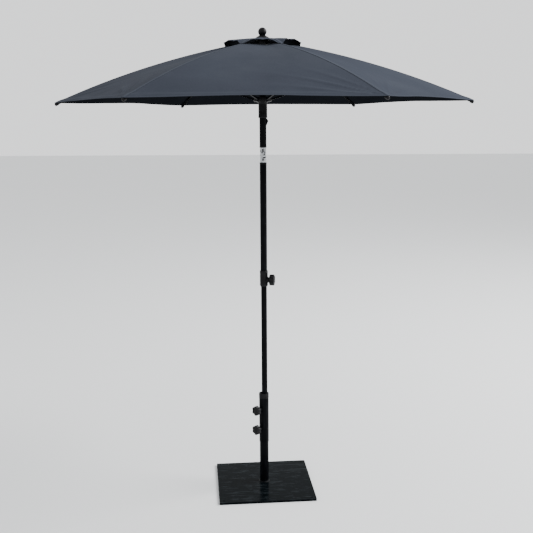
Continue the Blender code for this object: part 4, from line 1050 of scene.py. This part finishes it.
def cloth_piece(name, point_at, gore, first, columns, rows, layers):
    """Half a gore, from share first to first + 1: a grid laid on the surface and thickened. It keeps the
    surface's own normals, so that it shades on into its neighbour."""
    nothing_selected()
    bpy.ops.mesh.primitive_grid_add(x_subdivisions=columns, y_subdivisions=len(rows) - 1, size=2)
    piece = bpy.context.object
    piece.name = name
    mesh = piece.data
    lines = sorted({round(v.co.y, 5) for v in mesh.vertices}, reverse=True)
    doubled = piece.vertex_groups.new(name="doubled")
    layout, normals, places = {}, [], []
    for vertex in mesh.vertices:
        share = first + (vertex.co.x + 1) / 2
        down = rows[lines.index(round(vertex.co.y, 5))]
        place = point_at(gore, share, down)
        hem_point = point_at(gore, share, 1.0)
        rib = TURNS[(gore + (share > 1)) % RIBS] @ Vector((1, 0, 0))
        sideways = (rib.cross(Vector((0, 0, 1)))).dot(place)
        layout[vertex.index] = (sideways + gore, (hem_point - place).length)
        normals.append(surface_normal(point_at, gore, share, down))
        places.append(place)
        doubled.add([vertex.index], 1.0 if down > layers else 0.5, "REPLACE")
    laid(piece, places, layout)
    mesh.attributes.new("outward", "FLOAT_VECTOR", "POINT")
    for kept, normal in zip(mesh.attributes["outward"].data, normals):
        kept.vector = normal
    if mesh.polygons[0].normal.dot(normals[0]) < 0:
        mesh.flip_normals()
    applied(piece, "SOLIDIFY", thickness=2 * CLOTH, offset=0, vertex_group="doubled", use_rim=True)
    mesh = piece.data
    outward = [v.vector.copy() for v in mesh.attributes["outward"].data]
    mesh.materials.append(SLATE_CLOTH)
    mesh.materials.append(CLOTH_UNDERSIDE_PAINTED_SHADE)
    shading = [None] * len(mesh.loops)
    for face in mesh.polygons:
        face.use_smooth = True
        middle = sum((outward[v] for v in face.vertices), Vector()) / len(face.vertices)
        facing = face.normal.dot(middle)
        # Faces that look down get the underside finish, which is painted shade.
        if facing < -0.5:
            face.material_index = 1
        for loop in face.loop_indices:
            normal = outward[mesh.loops[loop].vertex_index]
            shading[loop] = normal if facing > 0.5 else -normal if facing < -0.5 else face.normal
    mesh.normals_split_custom_set([tuple(n.normalized()) for n in shading])
    mesh.attributes.remove(mesh.attributes["outward"])
    piece.vertex_groups.clear()
    return piece


def strip(name, number, point_at, first, last, half, thickness, steps):
    """A strip sewn along a rib's seam, over the cloth on both sides of it."""
    nothing_selected()
    bpy.ops.mesh.primitive_grid_add(x_subdivisions=6, y_subdivisions=steps, size=2)
    piece = bpy.context.object
    piece.name = name
    mesh = piece.data
    layout, places = {}, []
    for vertex in mesh.vertices:
        aside, down = vertex.co.x * half, first + (last - first) * (1 - vertex.co.y) / 2
        seam = point_at(number - 1, 0, down)
        share = 2 * abs(aside) / (math.hypot(seam.x, seam.y) * math.sin(math.tau / RIBS))
        sides = [(number - 1, share), ((number - 2) % RIBS, 2 - share)]
        near = sides if abs(aside) < 1e-6 else sides[:1] if aside > 0 else sides[1:]
        normals = [surface_normal(point_at, gore, along, down) for gore, along in near]
        outward = sum(normals, Vector()).normalized()
        gore, along = near[0]
        places.append(point_at(gore, along, down) + outward * SEAM_LIFT)
        layout[vertex.index] = (aside, (point_at(number - 1, 0, last) - seam).length)
    laid(piece, places, layout)
    if mesh.polygons[0].normal.z < 0:
        mesh.flip_normals()
    applied(piece, "SOLIDIFY", thickness=thickness, offset=0, use_rim=True)
    smooth(piece, 40)
    # The strip's lighter cloth is a painted highlight.
    return fitted(piece, SEAM_CLOTH_PAINTED_LIGHT, "cloth", f"rib_{number}")


def hung(piece, number, side, flat, keep, *sewn_on):
    """Cloth rides on its rib, with a mesh of its own."""
    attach(piece, f"rib_{number}")
    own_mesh(piece)


def both_halves(name, node, number, point_at, columns, rows, layers, flat, keep, seam):
    """The half gores on both sides of a rib."""
    for side, word in ((1, "left"), (-1, "right")):
        gore, first = (number - 1, 0) if side == 1 else ((number - 2) % RIBS, 1)
        piece = cloth_piece(f"{name}_{number}_{word}", point_at, gore, first, columns, rows, layers)
        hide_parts(f"{node}_{number}")
        hung(piece, number, side, flat, keep, *([seam] if side == 1 else []))


hem_down = HEM / (COVER_OUTER - arc_at(COVER_INNER))
cover_rows = [(1 - 1.2 * hem_down) * (step / 70) ** 0.85 for step in range(71)]
cover_rows += [1 - hem_down * part for part in (1.06, 0.94, 0.5, 0.1, 0)]
for number in range(1, RIBS + 1):
    seam = strip(f"seam_{number}", number, cover_point, 0.004, 0.998, SEAM_HALF, SEAM_CLOTH_THICKNESS, 60)
    both_halves(
        "cover", "canopy", number, cover_point, 36, cover_rows, 1 - hem_down, COVER_FLAT, COVER_KEPT, seam)


# Vent cap: a smaller six-sided cap of the same cloth, held at its corners on the seams of the cover.
# It is stiff enough to stand up from them, and its hem arches and puckers so that the wind can pass.
# The corners' lifts go round rib by rib, and the hem's lifts and its fall to the corners gore by gore.
VENT_INNER = 0.026
VENT_CORNER = 0.175
VENT_TOP = 2.1372
VENT_CORNER_LIFTS = (0.0155, 0.001, 0.001, 0.0175, 0.0, 0.0)
VENT_LIFTS = (0.002, 0.006, 0.002, 0.0190, 0.0188, 0.0245)
VENT_FALL = (7.0, 7.0, 7.0, 1.0, 1.5, 1.3)
VENT_HEM_RISE = 0.012
VENT_PUCKER = 0.0014
VENT_PUCKERS = 34
VENT_LOOSE = 0.97
VENT_SEAM_HALF = 0.0052
VENT_SEAM_THICKNESS = 0.0005
VENT_FLAT = (0.09, 0.165)
VENT_KEPT = 0.3


def vent_point(gore, share, down):
    """A point of the vent cap, as cover_point gives one of the cover."""
    from_rib = max(0, share if share <= 1 else 2 - share)
    arch = across(min(1, 1.6 * from_rib))
    loose_corner = VENT_CORNER_LIFTS[(gore + (share > 1)) % RIBS]
    loose_corner *= 1 - across(min(1, VENT_FALL[gore] * from_rib))
    corner_out, corner_height = rib_point(arc_at(VENT_CORNER), COVER_ABOVE + 0.0021)
    inner_height = CROWN_HEIGHT + 0.0093
    radius = VENT_INNER + (corner_out - VENT_HEM_RISE * across(from_rib) - VENT_INNER) * down
    hem_height = corner_height + loose_corner + VENT_LIFTS[gore] * arch
    height = VENT_TOP - (VENT_TOP - hem_height) * down**2.4 - (VENT_TOP - inner_height) * (1 - down) ** 6
    bearing = (gore + share / 2) / RIBS
    gathers = math.sin(math.tau * bearing * VENT_PUCKERS + 2.5 * noise.noise(Vector((bearing * 40, 0, 3.0))))
    loose = 0.35 + 0.65 * max(0, math.cos(math.tau * (bearing - VENT_LOOSE)))
    height += VENT_PUCKER * gathers * loose * math.sin(math.pi * from_rib / 2) * down**3
    height += 0.0025 * noise.noise(Vector((gore * 2.3, share * 2.0, down * 3))) * across(from_rib)
    return on_gore(radius, height, gore, share)


vent_rows = [0.87 * step / 14 for step in range(15)] + [0.885, 0.925, 0.96, 0.99, 1.0]
for number in range(1, RIBS + 1):
    seam = strip(
        f"vent_seam_{number}", number, vent_point, 0.16, 0.995, VENT_SEAM_HALF, VENT_SEAM_THICKNESS, 24)
    both_halves("vent", "vent_flap", number, vent_point, 26, vent_rows, 0.88, VENT_FLAT, VENT_KEPT, seam)
